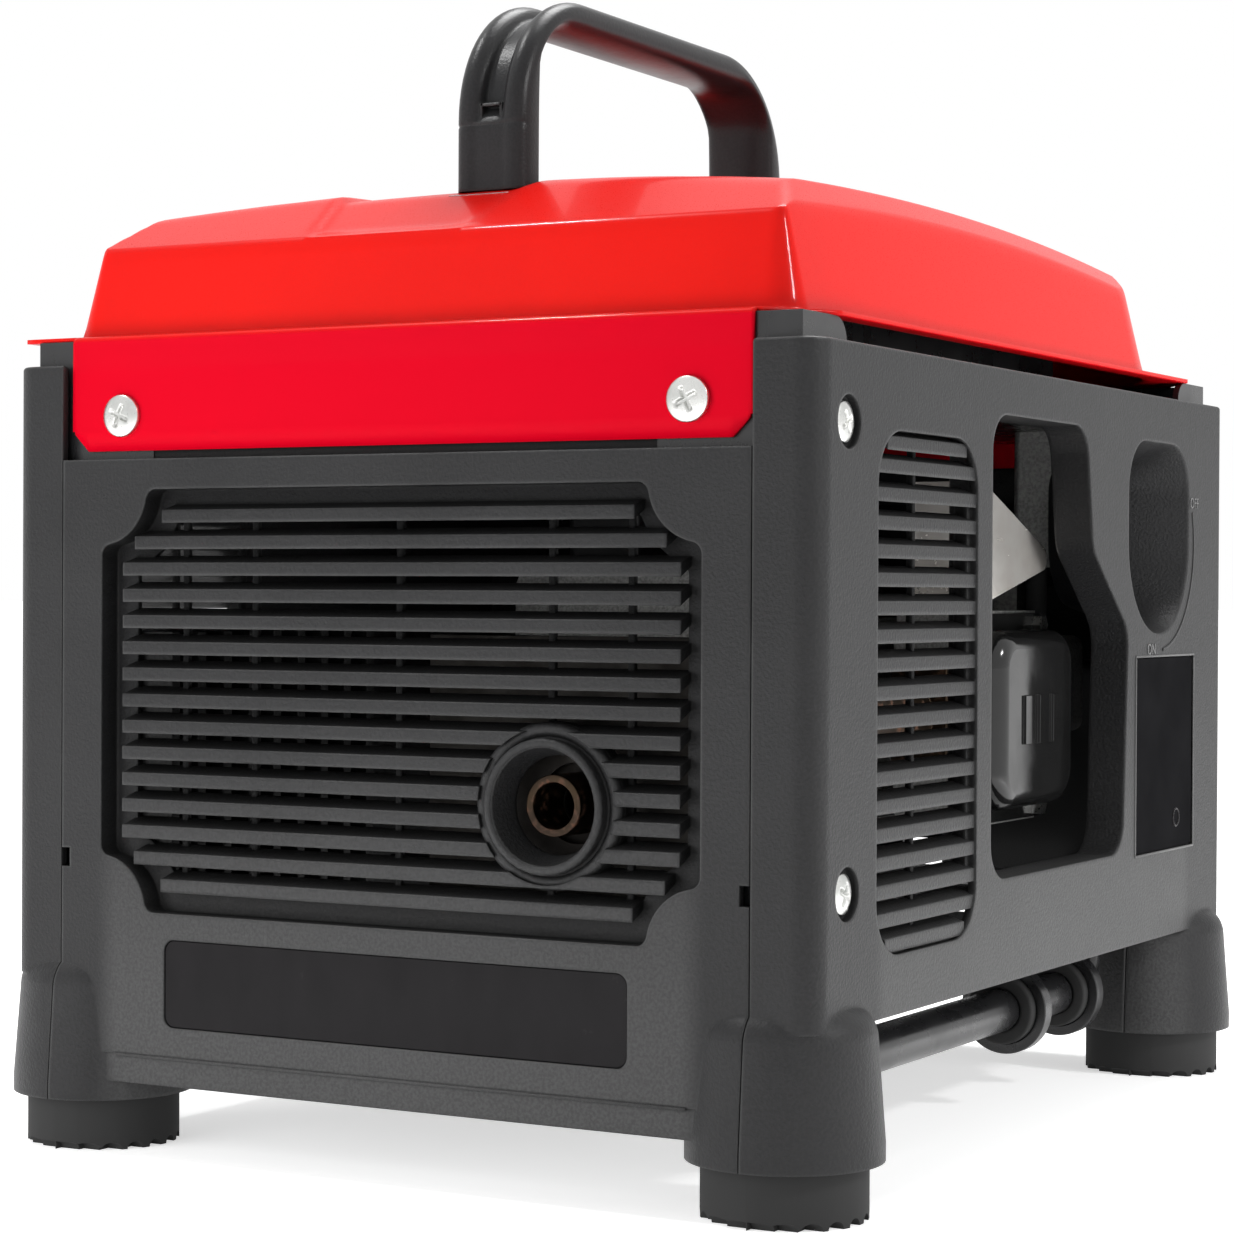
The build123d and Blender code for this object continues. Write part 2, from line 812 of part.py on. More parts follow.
# Control end panel with the recessed fascia, its cut-outs and the intake slots
with BuildPart() as control_end_panel:
    add(end_panel_blank(1))
    control_mid = (control_z[0] + control_z[1]) / 2
    control_height = control_z[1] - control_z[0]
    with BuildSketch(end_plane(half_length)):
        with Locations((0, control_mid)):
            RectangleRounded(control_width + 2 * recess_wall, control_height + 2 * recess_wall,
                             control_corner + recess_wall)
    extrude(amount=control_depth + recess_wall)
    with BuildSketch(end_plane(half_length)):
        with Locations((0, control_mid)):
            RectangleRounded(control_width, control_height, control_corner)
    extrude(amount=control_depth, mode=Mode.SUBTRACT)
    through = (fascia_y - 2 * recess_wall, fascia_y)
    for x in socket_x:
        rod_y(x, socket_z, socket_body + rest_gap, through, mode=Mode.SUBTRACT)
    rod_y(dc_x, dc_z, dc_radius - dc_step + rest_gap, through, mode=Mode.SUBTRACT)
    rod_y(button_x, button_z, button_radius + rest_gap, through, mode=Mode.SUBTRACT)
    rod_y(choke_x, choke_z, choke_rod + rest_gap, through, mode=Mode.SUBTRACT)
    for z in lamp_z:
        rod_y(lamp_x, z, lamp_radius + rest_gap, through, mode=Mode.SUBTRACT)
    for z in switch_z:
        slab((switch_x - switch_size[0] / 2, switch_x + switch_size[0] / 2), through,
             (z - switch_size[1] / 2, z + switch_size[1] / 2), mode=Mode.SUBTRACT)
    rod_y(earth_x, earth_z, earth_radius + screw_clearance, (inner_y, half_length), mode=Mode.SUBTRACT)
    for row in range(intake_slots):
        for side in (-1, 1):
            with BuildSketch(end_plane(half_length)):
                with Locations((side * intake_x, intake_z + row * intake_pitch)):
                    SlotOverall(*intake_slot)
            extrude(amount=panel_wall, mode=Mode.SUBTRACT)
save(control_end_panel, "control_end_panel")

# Corner posts: steel angles with a wider tab at the top that takes the lid screws
with BuildPart() as corner_posts:
    for side in (-1, 1):
        for end in (-1, 1):
            face = ordered(end * post_y, end * (post_y - post_thickness))
            outer = side * post_x
            slab(ordered(outer, side * (post_x - post_front_leg)), face, (plate_top, flange_z))
            slab(ordered(outer, side * (post_x - post_top_tab)), face, (post_tab_z, flange_z))
            slab(ordered(outer, side * (post_x - post_thickness)),
                 ordered(end * post_y, end * (post_y - post_side_leg)), (plate_top, flange_z))
            rod_y(side * lid_screw_x, lid_screw_z, screw_radius + screw_clearance, face, mode=Mode.SUBTRACT)
            for height in side_screw_z:
                if end < 0:
                    rod_x(end * side_screw_y, height, screw_radius + screw_clearance,
                          ordered(outer, side * (post_x - post_thickness)), mode=Mode.SUBTRACT)
                else:
                    rod_y(side * rear_screw_x, height, screw_radius + screw_clearance, face,
                          mode=Mode.SUBTRACT)
    fillet(corner_posts.edges().filter_by(Axis.X).group_by(Axis.Z)[-1].filter_by(
        lambda edge: abs(abs(edge.center().Y) - (post_y - post_side_leg)) < 0.01), post_corner)
save(corner_posts, "corner_posts")

# Cross plates that join the feet, the posts and the tubes
with BuildPart() as cross_plates:
    plate_half = inner_x - frame_clearance
    for end in (-1, 1):
        slab((-plate_half, plate_half), ordered(end * post_y, end * (post_y - plate_depth)), (plate_z,
                                                                                              plate_top))
save(cross_plates, "cross_plates")

# Bent frame tubes under the two sides
with BuildPart() as frame_tubes:
    for side in (-1, 1):
        with BuildLine() as route:
            FilletPolyline((side * tube_x, -tube_leg_y, plate_z), (side * tube_x, -tube_leg_y, tube_z),
                           (side * tube_x, tube_leg_y, tube_z), (side * tube_x, tube_leg_y, plate_z),
                           radius=tube_bend)
        with BuildSketch(Plane((side * tube_x, -tube_leg_y, plate_z), x_dir=(1, 0, 0), z_dir=(0, 0, -1))):
            Circle(tube_radius)
            Circle(tube_radius - tube_wall, mode=Mode.SUBTRACT)
        sweep()
save(frame_tubes, "frame_tubes")

# Rubber feet with scalloped soles
with BuildPart() as rubber_feet:
    for side in (-1, 1):
        for end in (-1, 1):
            with BuildSketch(Plane.XY.offset(0)):
                with Locations((side * foot_x, end * foot_y)):
                    Circle(rubber_radius)
            extrude(amount=rubber_height)
            rod_z(side * foot_x, end * foot_y, stem_radius, (rubber_height, plate_z))
            for step in range(rubber_scallops):
                turn = 2 * pi * (step + 0.5) / rubber_scallops
                with Locations(Location((side * foot_x + rubber_radius * cos(turn),
                                         end * foot_y + rubber_radius * sin(turn), 0), (0, 90,
                                                                                        degrees(turn)))):
                    Cylinder(scallop_radius, scallop_length, mode=Mode.SUBTRACT)
save(rubber_feet, "rubber_feet")


# Lid: flat flange, two aprons and a pressed dome
def crown_solid(inset, bottom):
    """Solid under the top of the dome, crowned across and falling to both ends, drawn in by the sheet."""
    rising = [(x, flange_top + height) for x, height in dome_crown]
    falling = [(-x, z) for x, z in rising[::-1]]
    with BuildPart() as crown:
        with BuildSketch(end_plane(dome_middle_y)) as section:
            Polygon((rising[0][0], bottom), *rising, (0, plateau_z), *falling, (falling[-1][0], bottom),
                    align=None)
            offset(amount=-inset, kind=Kind.INTERSECTION)
        for way, fall in zip((-1, 1), dome_fall):
            extrude(section.sketch, amount=body_length, dir=(0, way, -fall))
    return crown.part


def dome_solid(inset, bottom):
    """Pressed dome as a solid, drawn in by the thickness of the sheet."""
    (low_y, low), (high_y, high) = dome_slope
    slope = (high - low) / (high_y - low_y)
    drop = flange_top + low - inset * sqrt(1 + slope**2)
    with BuildPart() as dome:
        with BuildSketch(Plane.XY.offset(bottom)) as plan:
            Rectangle(dome_base[0] - 2 * inset, dome_base[1] - 2 * inset)
            fillet(plan.vertices().group_by(Axis.Y)[0], dome_front_corner - inset)
            fillet(plan.vertices().group_by(Axis.Y)[-1], dome_rear_corner - inset)
        extrude(amount=plateau_z - bottom, taper=dome_draft)
        add(crown_solid(inset, flange_z - apron_height), mode=Mode.INTERSECT)
        with BuildSketch(side_plane(-half_width)):
            Polygon((-half_length, drop - slope * (half_length + low_y)),
                    (0, drop - slope * low_y),
                    (-half_length, drop - slope * low_y), align=None)
        extrude(amount=2 * half_width, mode=Mode.SUBTRACT)
        slab((channel_x[0] - inset, channel_x[1] + inset), (-half_length,
                                                            handle_back + channel_margin + inset),
             (plateau_z - inset - channel_depth, plateau_z), mode=Mode.SUBTRACT)
    return dome.part


with BuildPart() as top_cover:
    with BuildSketch(Plane.XY.offset(flange_z)):
        with BuildLine():
            x = flange_width / 2
            y = post_y + lid_sheet
            Polyline((x - flange_cut_x, -y), (x, -y + flange_cut_y), (x, y - flange_cut_y),
                     (x - flange_cut_x, y),
                     (-x + flange_cut_x, y), (-x, y - flange_cut_y), (-flange_tip[0], -flange_tip[1]),
                     (-x + flange_cut_x, -y), close=True)
        make_face()
    extrude(amount=lid_sheet)
    for end in (-1, 1):
        with BuildSketch(end_plane(end * (post_y + lid_sheet))) as apron:
            with Locations((0, flange_top - apron_height / 2)):
                Rectangle(apron_width, apron_height)
            chamfer(apron.vertices().group_by(Axis.Y)[0], apron_corner)
        extrude(amount=end * lid_sheet)
        for side in (-1, 1):
            rod_y(side * lid_screw_x, lid_screw_z, screw_radius + screw_clearance,
                  ordered(end * post_y, end * (post_y + lid_sheet)), mode=Mode.SUBTRACT)
    add(dome_solid(0, flange_z))
    add(dome_solid(lid_sheet, flange_z - lid_sheet), mode=Mode.SUBTRACT)
    rod_z(filler_x, filler_y, neck_radius + neck_hole_gap, (flange_top, plateau_z), mode=Mode.SUBTRACT)
    for y in leg_y:
        for shift in (-1, 1):
            rod_z(shift * handle_bolt_spacing / 2, y, screw_radius + screw_clearance, (flange_top, plateau_z),
                  mode=Mode.SUBTRACT)
save(top_cover, "top_cover")


# Carrying handle, its bracket under the dome and its bolts
def arch(inset, foot):
    """Arch of the handle seen from the side, drawn in by an inset and standing at a height."""
    with BuildSketch() as outline:
        Polygon((handle_front + inset, foot), (handle_front + inset, handle_top - inset),
                (handle_back - inset, handle_top - inset), (handle_back - inset, foot), align=None)
        fillet(outline.vertices().group_by(Axis.Y)[-1], handle_outer_radius - inset)
    return outline.sketch


bolt_places = [(shift * handle_bolt_spacing / 2, y) for y in leg_y for shift in (-1, 1)]
with BuildPart() as carry_handle:
    with BuildSketch(side_plane(-handle_width / 2)):
        add(arch(0, handle_seat))
        add(arch(handle_thickness, handle_seat), mode=Mode.SUBTRACT)
    extrude(amount=handle_width)
    rims = carry_handle.faces().filter_by(Axis.X).edges()
    fillet(rims.filter_by(lambda edge: edge.center().Z > handle_seat + handle_edge), handle_edge)
    with BuildSketch(side_plane(-handle_groove[0] / 2)):
        add(arch(0, handle_seat + handle_groove[0]))
        add(arch(handle_groove[1], handle_seat + handle_groove[0]), mode=Mode.SUBTRACT)
    extrude(amount=handle_groove[0], mode=Mode.SUBTRACT)
    for x, y in bolt_places:
        rod_z(x, y, screw_radius + screw_clearance, (handle_seat, handle_seat + handle_bolt_depth),
              mode=Mode.SUBTRACT)
save(carry_handle, "carry_handle")

with BuildPart() as handle_bracket:
    slab((-handle_width / 2, handle_width / 2), (handle_front - bracket_margin / 2,
                                                 handle_back + bracket_margin),
         (bracket_z, bracket_top))
    for x, y in bolt_places:
        rod_z(x, y, screw_radius + screw_clearance, (bracket_z, bracket_top), mode=Mode.SUBTRACT)
save(handle_bracket, "handle_bracket")

with BuildPart() as handle_bolts:
    for x, y in bolt_places:
        rod_z(x, y, bolt_head[0], (bracket_z - bolt_head[1], bracket_z))
        rod_z(x, y, screw_radius, (bracket_z, handle_seat + handle_bolt_depth - thread_end_gap))
save(handle_bolts, "handle_bolts")

# Screws of the lid and of the side panels
with BuildPart() as panel_screws:
    for side in (-1, 1):
        for end in (-1, 1):
            face = end * (post_y + lid_sheet)
            rod_y(side * lid_screw_x, lid_screw_z, lid_screw_head[0], ordered(face,
                                                                              face + end * lid_screw_head[1]))
            rod_y(side * lid_screw_x, lid_screw_z, screw_radius, ordered(face, face - end * screw_length))
        for height in side_screw_z:
            face = side * inner_x
            rod_x(-side_screw_y, height, side_screw_head[0], ordered(face, face + side * side_screw_head[1]))
            rod_x(-side_screw_y, height, screw_radius, ordered(face, face - side * screw_length))
            rod_y(side * rear_screw_x, height, side_screw_head[0], (half_length,
                                                                    half_length + side_screw_head[1]))
            rod_y(side * rear_screw_x, height, screw_radius, (half_length - screw_length, half_length))
save(panel_screws, "panel_screws")

# Rubber sleeves on the tubes and the cradle that hangs the engine on them
with BuildPart() as mount_sleeves:
    for side in (-1, 1):
        for y in sleeve_y:
            span = (y - sleeve_length / 2, y + sleeve_length / 2)
            rod_y(side * tube_x, tube_z, sleeve_radius, span)
            rod_y(side * tube_x, tube_z, tube_radius + running_gap, span, mode=Mode.SUBTRACT)
save(mount_sleeves, "mount_sleeves")

cradle_top = crankcase_z[0]
cradle_low = cradle_top - cradle_thickness
with BuildPart() as engine_cradle:
    slab((-cradle_half, cradle_half), cradle_y, (cradle_low, cradle_top))
    for side in (-1, 1):
        slab(ordered(side * cradle_half, side * (cradle_half - rail_width)),
             (cradle_y[0], sleeve_y[1] + sleeve_length / 2), (cradle_low, cradle_top))
        for y in sleeve_y:
            span = (y - eye_width / 2, y + eye_width / 2)
            rod_y(side * tube_x, tube_z, sleeve_radius + eye_wall, span)
            slab((side * tube_x - rail_width / 2, side * tube_x + rail_width / 2), span, (tube_z, cradle_low))
            rod_y(side * tube_x, tube_z, sleeve_radius + running_gap, span, mode=Mode.SUBTRACT)
save(engine_cradle, "engine_cradle")

# Crankcase with its cavity, the cover that closes it and the oil plug
with BuildPart() as crankcase:
    slab(crankcase_x, crankcase_y, crankcase_z)
    fillet(crankcase.edges().filter_by(Axis.Y), case_fillet)
    rod_y(crank_x, crank_z, crankcase_cavity, (crankcase_y[0], case_face - cover_thickness),
          mode=Mode.SUBTRACT)
    rod_y(crank_x, crank_z, shaft_radius + running_gap, crankcase_y, mode=Mode.SUBTRACT)
    rod_x(cylinder_y, crank_z, cylinder_bore, (crank_x, crankcase_x[1]), mode=Mode.SUBTRACT)
    rod_x(cylinder_y, oil_z, oil_thread, (crankcase_x[0], crankcase_x[0] + oil_depth), mode=Mode.SUBTRACT)
save(crankcase, "crankcase")

cover_y = (crankcase_y[0] - cover_thickness, crankcase_y[0])
bearing_end = cover_y[0] + cover_end
with BuildPart() as crankcase_cover:
    slab(crankcase_x, (crankcase_y[0] - cover_sheet, crankcase_y[0]), crankcase_z)
    fillet(crankcase_cover.edges().filter_by(Axis.Y), case_fillet)
    rod_y(crank_x, crank_z, cover_boss, cover_y)
    rod_y(crank_x, crank_z, shaft_radius + running_gap, (bearing_end, cover_y[1]), mode=Mode.SUBTRACT)
save(crankcase_cover, "crankcase_cover")

with BuildPart() as oil_filler_plug:
    rod_x(cylinder_y, oil_z, oil_thread - rest_gap, (crankcase_x[0],
                                                     crankcase_x[0] + oil_depth - thread_end_gap))
    with BuildSketch(side_plane(crankcase_x[0])):
        with Locations((cylinder_y, oil_z)):
            RegularPolygon(oil_head[0], 8)
    extrude(amount=-oil_head[1])
save(oil_filler_plug, "oil_filler_plug")

# Crankshaft: two journals, two webs and the pin between them, with the nose that carries the rotor
fan_face = rotor_y[1] + rotor_web
fan_end = fan_face + fan_length
web_y = (crankcase_y[0] + web_clearance, case_face - cover_thickness - web_clearance)
web_gap = (web_y[0] + crank_web, web_y[1] - crank_web)
with BuildPart() as crankshaft:
    rod_y(crank_x, crank_z, shaft_radius, (bearing_end + rest_gap, fan_end + nose_length))
    rod_y(crank_x, crank_z, web_radius, web_y)
    rod_y(crank_x, crank_z, web_radius + cut_margin, web_gap, mode=Mode.SUBTRACT)
    rod_y(crank_x, crank_z + crank_throw, shaft_radius, web_gap)
save(crankshaft, "crankshaft")

# Finned cylinder and head lying along X, with the valve cover on its bolts
with BuildPart() as cylinder:
    fin_pitch = (cylinder_length - fin_thickness) / (fin_count - 1)
    for index in range(fin_count):
        with BuildSketch(side_plane(crankcase_x[1] + index * fin_pitch)):
            with Locations((cylinder_y, crank_z)):
                RectangleRounded(fin_size, fin_size, fin_corner)
        extrude(amount=fin_thickness)
    rod_x(cylinder_y, crank_z, cylinder_radius, (crankcase_x[1], head_x))
    rod_x(cylinder_y, crank_z, cylinder_bore, (crankcase_x[1], head_x), mode=Mode.SUBTRACT)
save(cylinder, "cylinder")

with BuildPart() as cylinder_head:
    slab((head_x, valve_x), (head_front, head_back), (head_low, head_top))
    for index in range(head_slots):
        y = cylinder_y + (index - (head_slots - 1) / 2) * head_slot_pitch
        slab((head_x + head_rim, valve_x - head_rim), (y - head_slot[0] / 2, y + head_slot[0] / 2),
             (head_low, head_low + head_slot[1]), mode=Mode.SUBTRACT)
    rod_z(plug_x, plug_y, plug_thread + rest_gap, (head_top - plug_seat, head_top), mode=Mode.SUBTRACT)
    rod_y(pipe_x, pipe_z, pipe_bore, (head_front, head_front + port_depth), mode=Mode.SUBTRACT)
    rod_y(carb_mid_x, pipe_z, carb_bore, (head_back - port_depth, head_back), mode=Mode.SUBTRACT)
save(cylinder_head, "cylinder_head")

flange_face = valve_x + cover_flange
cover_face = valve_x + cover_length
cover_bolts = [(cylinder_y + dy * cover_bolt_offset, crank_z + dz * cover_bolt_offset) for dy in (-1, 1)
               for dz in (-1, 1)]
with BuildPart() as valve_cover:
    slab((valve_x, flange_face), (head_front + cover_margin, head_back - cover_margin),
         (head_low + cover_margin, head_top - cover_margin))
    with BuildSketch(side_plane(flange_face)):
        with Locations((cylinder_y, crank_z)):
            RectangleRounded(cover_width, cover_height, cover_corner)
    extrude(amount=cover_length - cover_flange)
    fillet(valve_cover.faces().sort_by(Axis.X)[-1].edges(), cover_round)
    for index in range(cover_ribs):
        y = cylinder_y + (index - (cover_ribs - 1) / 2) * cover_rib_pitch
        slab((cover_face - cover_margin, cover_face + cover_rib[2]), (y - cover_rib[0] / 2,
                                                                      y + cover_rib[0] / 2),
             (crank_z - cover_rib[1] / 2, crank_z + cover_rib[1] / 2))
    for y, z in cover_bolts:
        rod_x(y, z, screw_radius + screw_clearance, (valve_x, flange_face), mode=Mode.SUBTRACT)
save(valve_cover, "valve_cover")

with BuildPart() as valve_cover_bolts:
    for y, z in cover_bolts:
        rod_x(y, z, screw_radius, (valve_x, flange_face))
        with BuildSketch(side_plane(flange_face)):
            with Locations((y, z)):
                RegularPolygon(cover_bolt_head[0], 6)
        extrude(amount=cover_bolt_head[1])
save(valve_cover_bolts, "valve_cover_bolts")

# Spark plug, its cap and the ignition coil
plug_top = head_top + plug_height
with BuildPart() as spark_plug:
    rod_z(plug_x, plug_y, plug_thread, (head_top - plug_seat + thread_end_gap, head_top))
    with BuildSketch(Plane.XY.offset(head_top)):
        with Locations((plug_x, plug_y)):
            RegularPolygon(plug_hex[0], 6)
    extrude(amount=plug_hex[1])
    rod_z(plug_x, plug_y, plug_insulator, (head_top + plug_hex[1], plug_top))
save(spark_plug, "spark_plug")

with BuildPart() as spark_plug_cap:
    cap_low = head_top + plug_cap_lift
    rod_z(plug_x, plug_y, plug_cap_radius, (cap_low, plug_top + plug_cap_top))
    fillet(spark_plug_cap.faces().sort_by(Axis.Z)[-1].edges(), plug_cap_round)
    rod_z(plug_x, plug_y, plug_insulator + rest_gap, (cap_low, plug_top + rest_gap), mode=Mode.SUBTRACT)
save(spark_plug_cap, "spark_plug_cap")

with BuildPart() as ignition_coil:
    slab(coil_x, coil_y, (crankcase_z[1], crankcase_z[1] + coil_height))
    fillet(ignition_coil.edges().filter_by(Axis.Z), coil_fillet)
save(ignition_coil, "ignition_coil")

# Flywheel rotor with its fan, the stator inside it and the shroud round it
with BuildPart() as fan_flywheel:
    rod_y(crank_x, crank_z, rotor_rim[1], (rotor_y[0], fan_face))
    rod_y(crank_x, crank_z, rotor_rim[0], rotor_y, mode=Mode.SUBTRACT)
    rod_y(crank_x, crank_z, shaft_radius + hub_wall, (rotor_y[1], fan_end))
    for index in range(fan_blades):
        with Locations(Location((crank_x, (fan_face + fan_end) / 2, crank_z), (0, 360 * index / fan_blades,
                                                                               0))):
            with Locations((fan_blade_radius, 0, 0)):
                Box(fan_blade[0], fan_length, fan_blade[1])
    rod_y(crank_x, crank_z, shaft_radius + running_gap, (rotor_y[1], fan_end), mode=Mode.SUBTRACT)
save(fan_flywheel, "fan_flywheel")

with BuildPart() as stator:
    rod_y(crank_x, crank_z, stator_outer, stator_y)
    for index in range(stator_poles):
        turn = 2 * pi * index / stator_poles
        reach = stator_outer - stator_slot_inset
        rod_y(crank_x + reach * cos(turn), crank_z + reach * sin(turn), stator_slot, stator_y,
              mode=Mode.SUBTRACT)
    rod_y(crank_x, crank_z, stator_bore + stator_foot, (case_face, stator_y[0]))
    rod_y(crank_x, crank_z, stator_bore, (case_face, stator_y[1]), mode=Mode.SUBTRACT)
save(stator, "stator")

shroud_outer = shroud_inner + shroud_wall
with BuildPart() as fan_shroud:
    rod_y(crank_x, crank_z, shroud_outer, (case_face, shroud_end))
    rod_y(crank_x, crank_z, shroud_inner, (case_face + shroud_wall, shroud_end), mode=Mode.SUBTRACT)
    rod_y(crank_x, crank_z, shroud_hole, (case_face, case_face + shroud_wall), mode=Mode.SUBTRACT)
    slab(outlet_x, (case_face, outlet_end), outlet_z, mode=Mode.SUBTRACT)
save(fan_shroud, "fan_shroud")

# Recoil starter: slotted housing with its post, the pulley on the post and the pull grip
recoil_face = recoil_end - recoil_wall
pulley_span = (pulley_y - pulley_width / 2, pulley_y + pulley_width / 2)
with BuildPart() as recoil_housing:
    rod_y(crank_x, crank_z, shroud_outer, (shroud_end, recoil_end))
    fillet(recoil_housing.faces().sort_by(Axis.Y)[-1].edges(), recoil_fillet)
    rod_y(crank_x, crank_z, shroud_inner, (shroud_end, recoil_face), mode=Mode.SUBTRACT)
    rod_y(crank_x, crank_z, recoil_post, (pulley_span[0], recoil_face))
    rod_x(pulley_y, rope_z, rope_hole, (crank_x - shroud_outer, crank_x - pulley_radius), mode=Mode.SUBTRACT)
    for index in range(recoil_slots):
        turn = Location((crank_x, recoil_end - recoil_wall / 2, crank_z), (0, 360 * index / recoil_slots, 0))
        with Locations(turn):
            with Locations((recoil_slot_radius, 0, 0)):
                Box(recoil_slot[0], 2 * recoil_wall, recoil_slot[1], mode=Mode.SUBTRACT)
save(recoil_housing, "recoil_housing")

with BuildPart() as recoil_pulley:
    groove_span = (pulley_y - pulley_groove_half, pulley_y + pulley_groove_half)
    rod_y(crank_x, crank_z, pulley_radius, pulley_span)
    rod_y(crank_x, crank_z, pulley_radius + cut_margin, groove_span, mode=Mode.SUBTRACT)
    rod_y(crank_x, crank_z, pulley_groove - rope_radius - rest_gap, groove_span)
    rod_y(crank_x, crank_z, recoil_post + running_gap, pulley_span, mode=Mode.SUBTRACT)
save(recoil_pulley, "recoil_pulley")

grip_bar = (-half_width - grip_proud, -half_width - grip_proud + grip_depth)
with BuildPart() as starter_grip:
    slab(grip_bar, (pulley_y - grip_size[0] / 2, pulley_y + grip_size[0] / 2),
         (rope_z - grip_size[1] / 2, rope_z + grip_size[1] / 2))
    fillet(starter_grip.edges(), grip_fillet)
    rod_x(pulley_y, rope_z, grip_stem, (grip_bar[1] - grip_fillet, -grip_floor_x - rest_gap))
save(starter_grip, "starter_grip")


# Muffler on its two legs, its shield, the tail pipe and the pipe from the head
def muffler_body(inset):
    """Rounded body of the muffler drawn in by an inset."""
    with BuildPart() as body:
        slab((muffler_x[0] + inset, muffler_x[1] - inset), (muffler_y[0] + inset, muffler_y[1] - inset),
             (muffler_z[0] + inset, muffler_z[1] - inset))
        fillet(body.edges().filter_by(Axis.Y), muffler_fillet - inset)
    return body.part


with BuildPart() as muffler:
    add(muffler_body(0))
    add(muffler_body(muffler_wall), mode=Mode.SUBTRACT)
    rod_y(collar_x, collar_z, tail_bore, (muffler_y[0], muffler_y[0] + muffler_wall), mode=Mode.SUBTRACT)
    rod_y(pipe_x, pipe_z, pipe_bore, (muffler_y[1] - muffler_wall, muffler_y[1]), mode=Mode.SUBTRACT)
    for leg in muffler_leg_x:
        slab(leg, muffler_leg_y, (plate_top, muffler_z[0]))
save(muffler, "muffler")

shield_y = muffler_y[0] - shield_gap
with BuildPart() as muffler_shield:
    slab((muffler_x[0] - shield_sheet, muffler_x[1] + shield_sheet), (shield_y - shield_sheet, shield_y),
         (muffler_z[0] - shield_margin, muffler_z[1] + shield_margin))
    for x in (muffler_x[0] - shield_sheet, muffler_x[1]):
        slab((x, x + shield_sheet), (shield_y, shield_flange_y),
             (muffler_z[0] + shield_flange_inset, muffler_z[1] - shield_flange_inset))
    rod_y(collar_x, collar_z, shield_hole, (shield_y - shield_sheet, shield_y), mode=Mode.SUBTRACT)
save(muffler_shield, "muffler_shield")

with BuildPart() as tail_pipe:
    tail_span = (muffler_y[0] - tail_reach, muffler_y[0])
    rod_y(collar_x, collar_z, tail_radius, tail_span)
    rod_y(collar_x, collar_z, tail_bore, tail_span, mode=Mode.SUBTRACT)
save(tail_pipe, "tail_pipe")

with BuildPart() as exhaust_pipe:
    rod_y(pipe_x, pipe_z, pipe_radius, (muffler_y[1], head_front))
    slab((head_x, head_x + pipe_flange[0]), (head_front - pipe_flange[2], head_front),
         (pipe_z - pipe_flange[1] / 2, pipe_z + pipe_flange[1] / 2))
    rod_y(pipe_x, pipe_z, pipe_bore, (muffler_y[1], head_front), mode=Mode.SUBTRACT)
save(exhaust_pipe, "exhaust_pipe")


# Polished guard beside the head, a shallow pressed tray on a bent tab
def guard_face(inset):
    """Outline of the guard drawn in by an inset, with its nose rounded."""
    with BuildSketch() as outline:
        Polygon(*guard_outline, align=None)
        fillet(outline.vertices().sort_by(Axis.X)[-2:], guard_corner)
        if inset > 0:
            offset(amount=-inset)
    return outline.sketch


guard_x = valve_x - guard_inset
with BuildPart() as head_guard:
    with BuildSketch(side_plane(guard_x)):
        add(guard_face(0))
    extrude(amount=guard_width)
    with BuildSketch(side_plane(guard_x)):
        add(guard_face(guard_sheet))
    extrude(amount=guard_width - guard_sheet, mode=Mode.SUBTRACT)
    slab((guard_x - guard_sheet, guard_x), guard_tab_y, (head_top, head_top + guard_tab_rise))
    slab((guard_x - guard_foot, guard_x), guard_tab_y, (head_top, head_top + guard_sheet))
save(head_guard, "head_guard")

# Carburettor, air filter and the choke rod with its knob on the fascia
lug_y = (carb_y[1] - choke_lug[1], carb_y[1])
with BuildPart() as carburettor:
    slab(carb_x, carb_y, carb_z)
    fillet(carburettor.edges().filter_by(Axis.Y), carb_fillet)
    rod_z(carb_mid_x, carb_mid_y, bowl_radius, (carb_z[0] - bowl_height, carb_z[0]))
    slab((choke_x - choke_lug[0] / 2, choke_x + choke_lug[0] / 2), lug_y, (pipe_z, choke_z + choke_lug[2]))
    rod_y(carb_mid_x, pipe_z, carb_bore, carb_y, mode=Mode.SUBTRACT)
    rod_y(choke_x, choke_z, choke_rod + running_gap, lug_y, mode=Mode.SUBTRACT)
save(carburettor, "carburettor")

box_inner_y = (air_box_y[0] + air_box_wall, air_box_y[1] - air_box_wall)
box_inner_z = (plate_top + air_box_wall, air_box_top - air_box_wall)
air_cover_x = air_box_x[1] - air_box_wall
with BuildPart() as air_filter_box:
    slab(air_box_x, air_box_y, (plate_top, air_box_top))
    fillet(air_filter_box.edges().filter_by(Axis.X), air_box_fillet)
    slab((air_box_x[0] + air_box_wall, air_box_x[1]), box_inner_y, box_inner_z, mode=Mode.SUBTRACT)
    rod_y(carb_mid_x, pipe_z, carb_bore, (air_box_y[0], box_inner_y[0]), mode=Mode.SUBTRACT)
save(air_filter_box, "air_filter_box")

with BuildPart() as air_filter_cover:
    slab((air_cover_x, air_box_x[1]), box_inner_y, box_inner_z)
save(air_filter_cover, "air_filter_cover")

with BuildPart() as air_filter_element:
    slab((air_box_x[0] + air_box_wall + element_gap, air_cover_x - element_gap),
         (box_inner_y[0] + element_gap,
         box_inner_y[1]), (box_inner_z[0], box_inner_z[1] - element_gap))
save(air_filter_element, "air_filter_element")

with BuildPart() as choke_control:
    knob_span = (fascia_y + rest_gap, fascia_y + choke_knob_length)
    rod_y(choke_x, choke_z, choke_knob, knob_span)
    fillet(choke_control.faces().sort_by(Axis.Y)[-1].edges(), choke_knob_edge)
    rod_y(choke_x, choke_z, choke_rod, (lug_y[0] - choke_travel - choke_overlap, knob_span[0]))
save(choke_control, "choke_control")

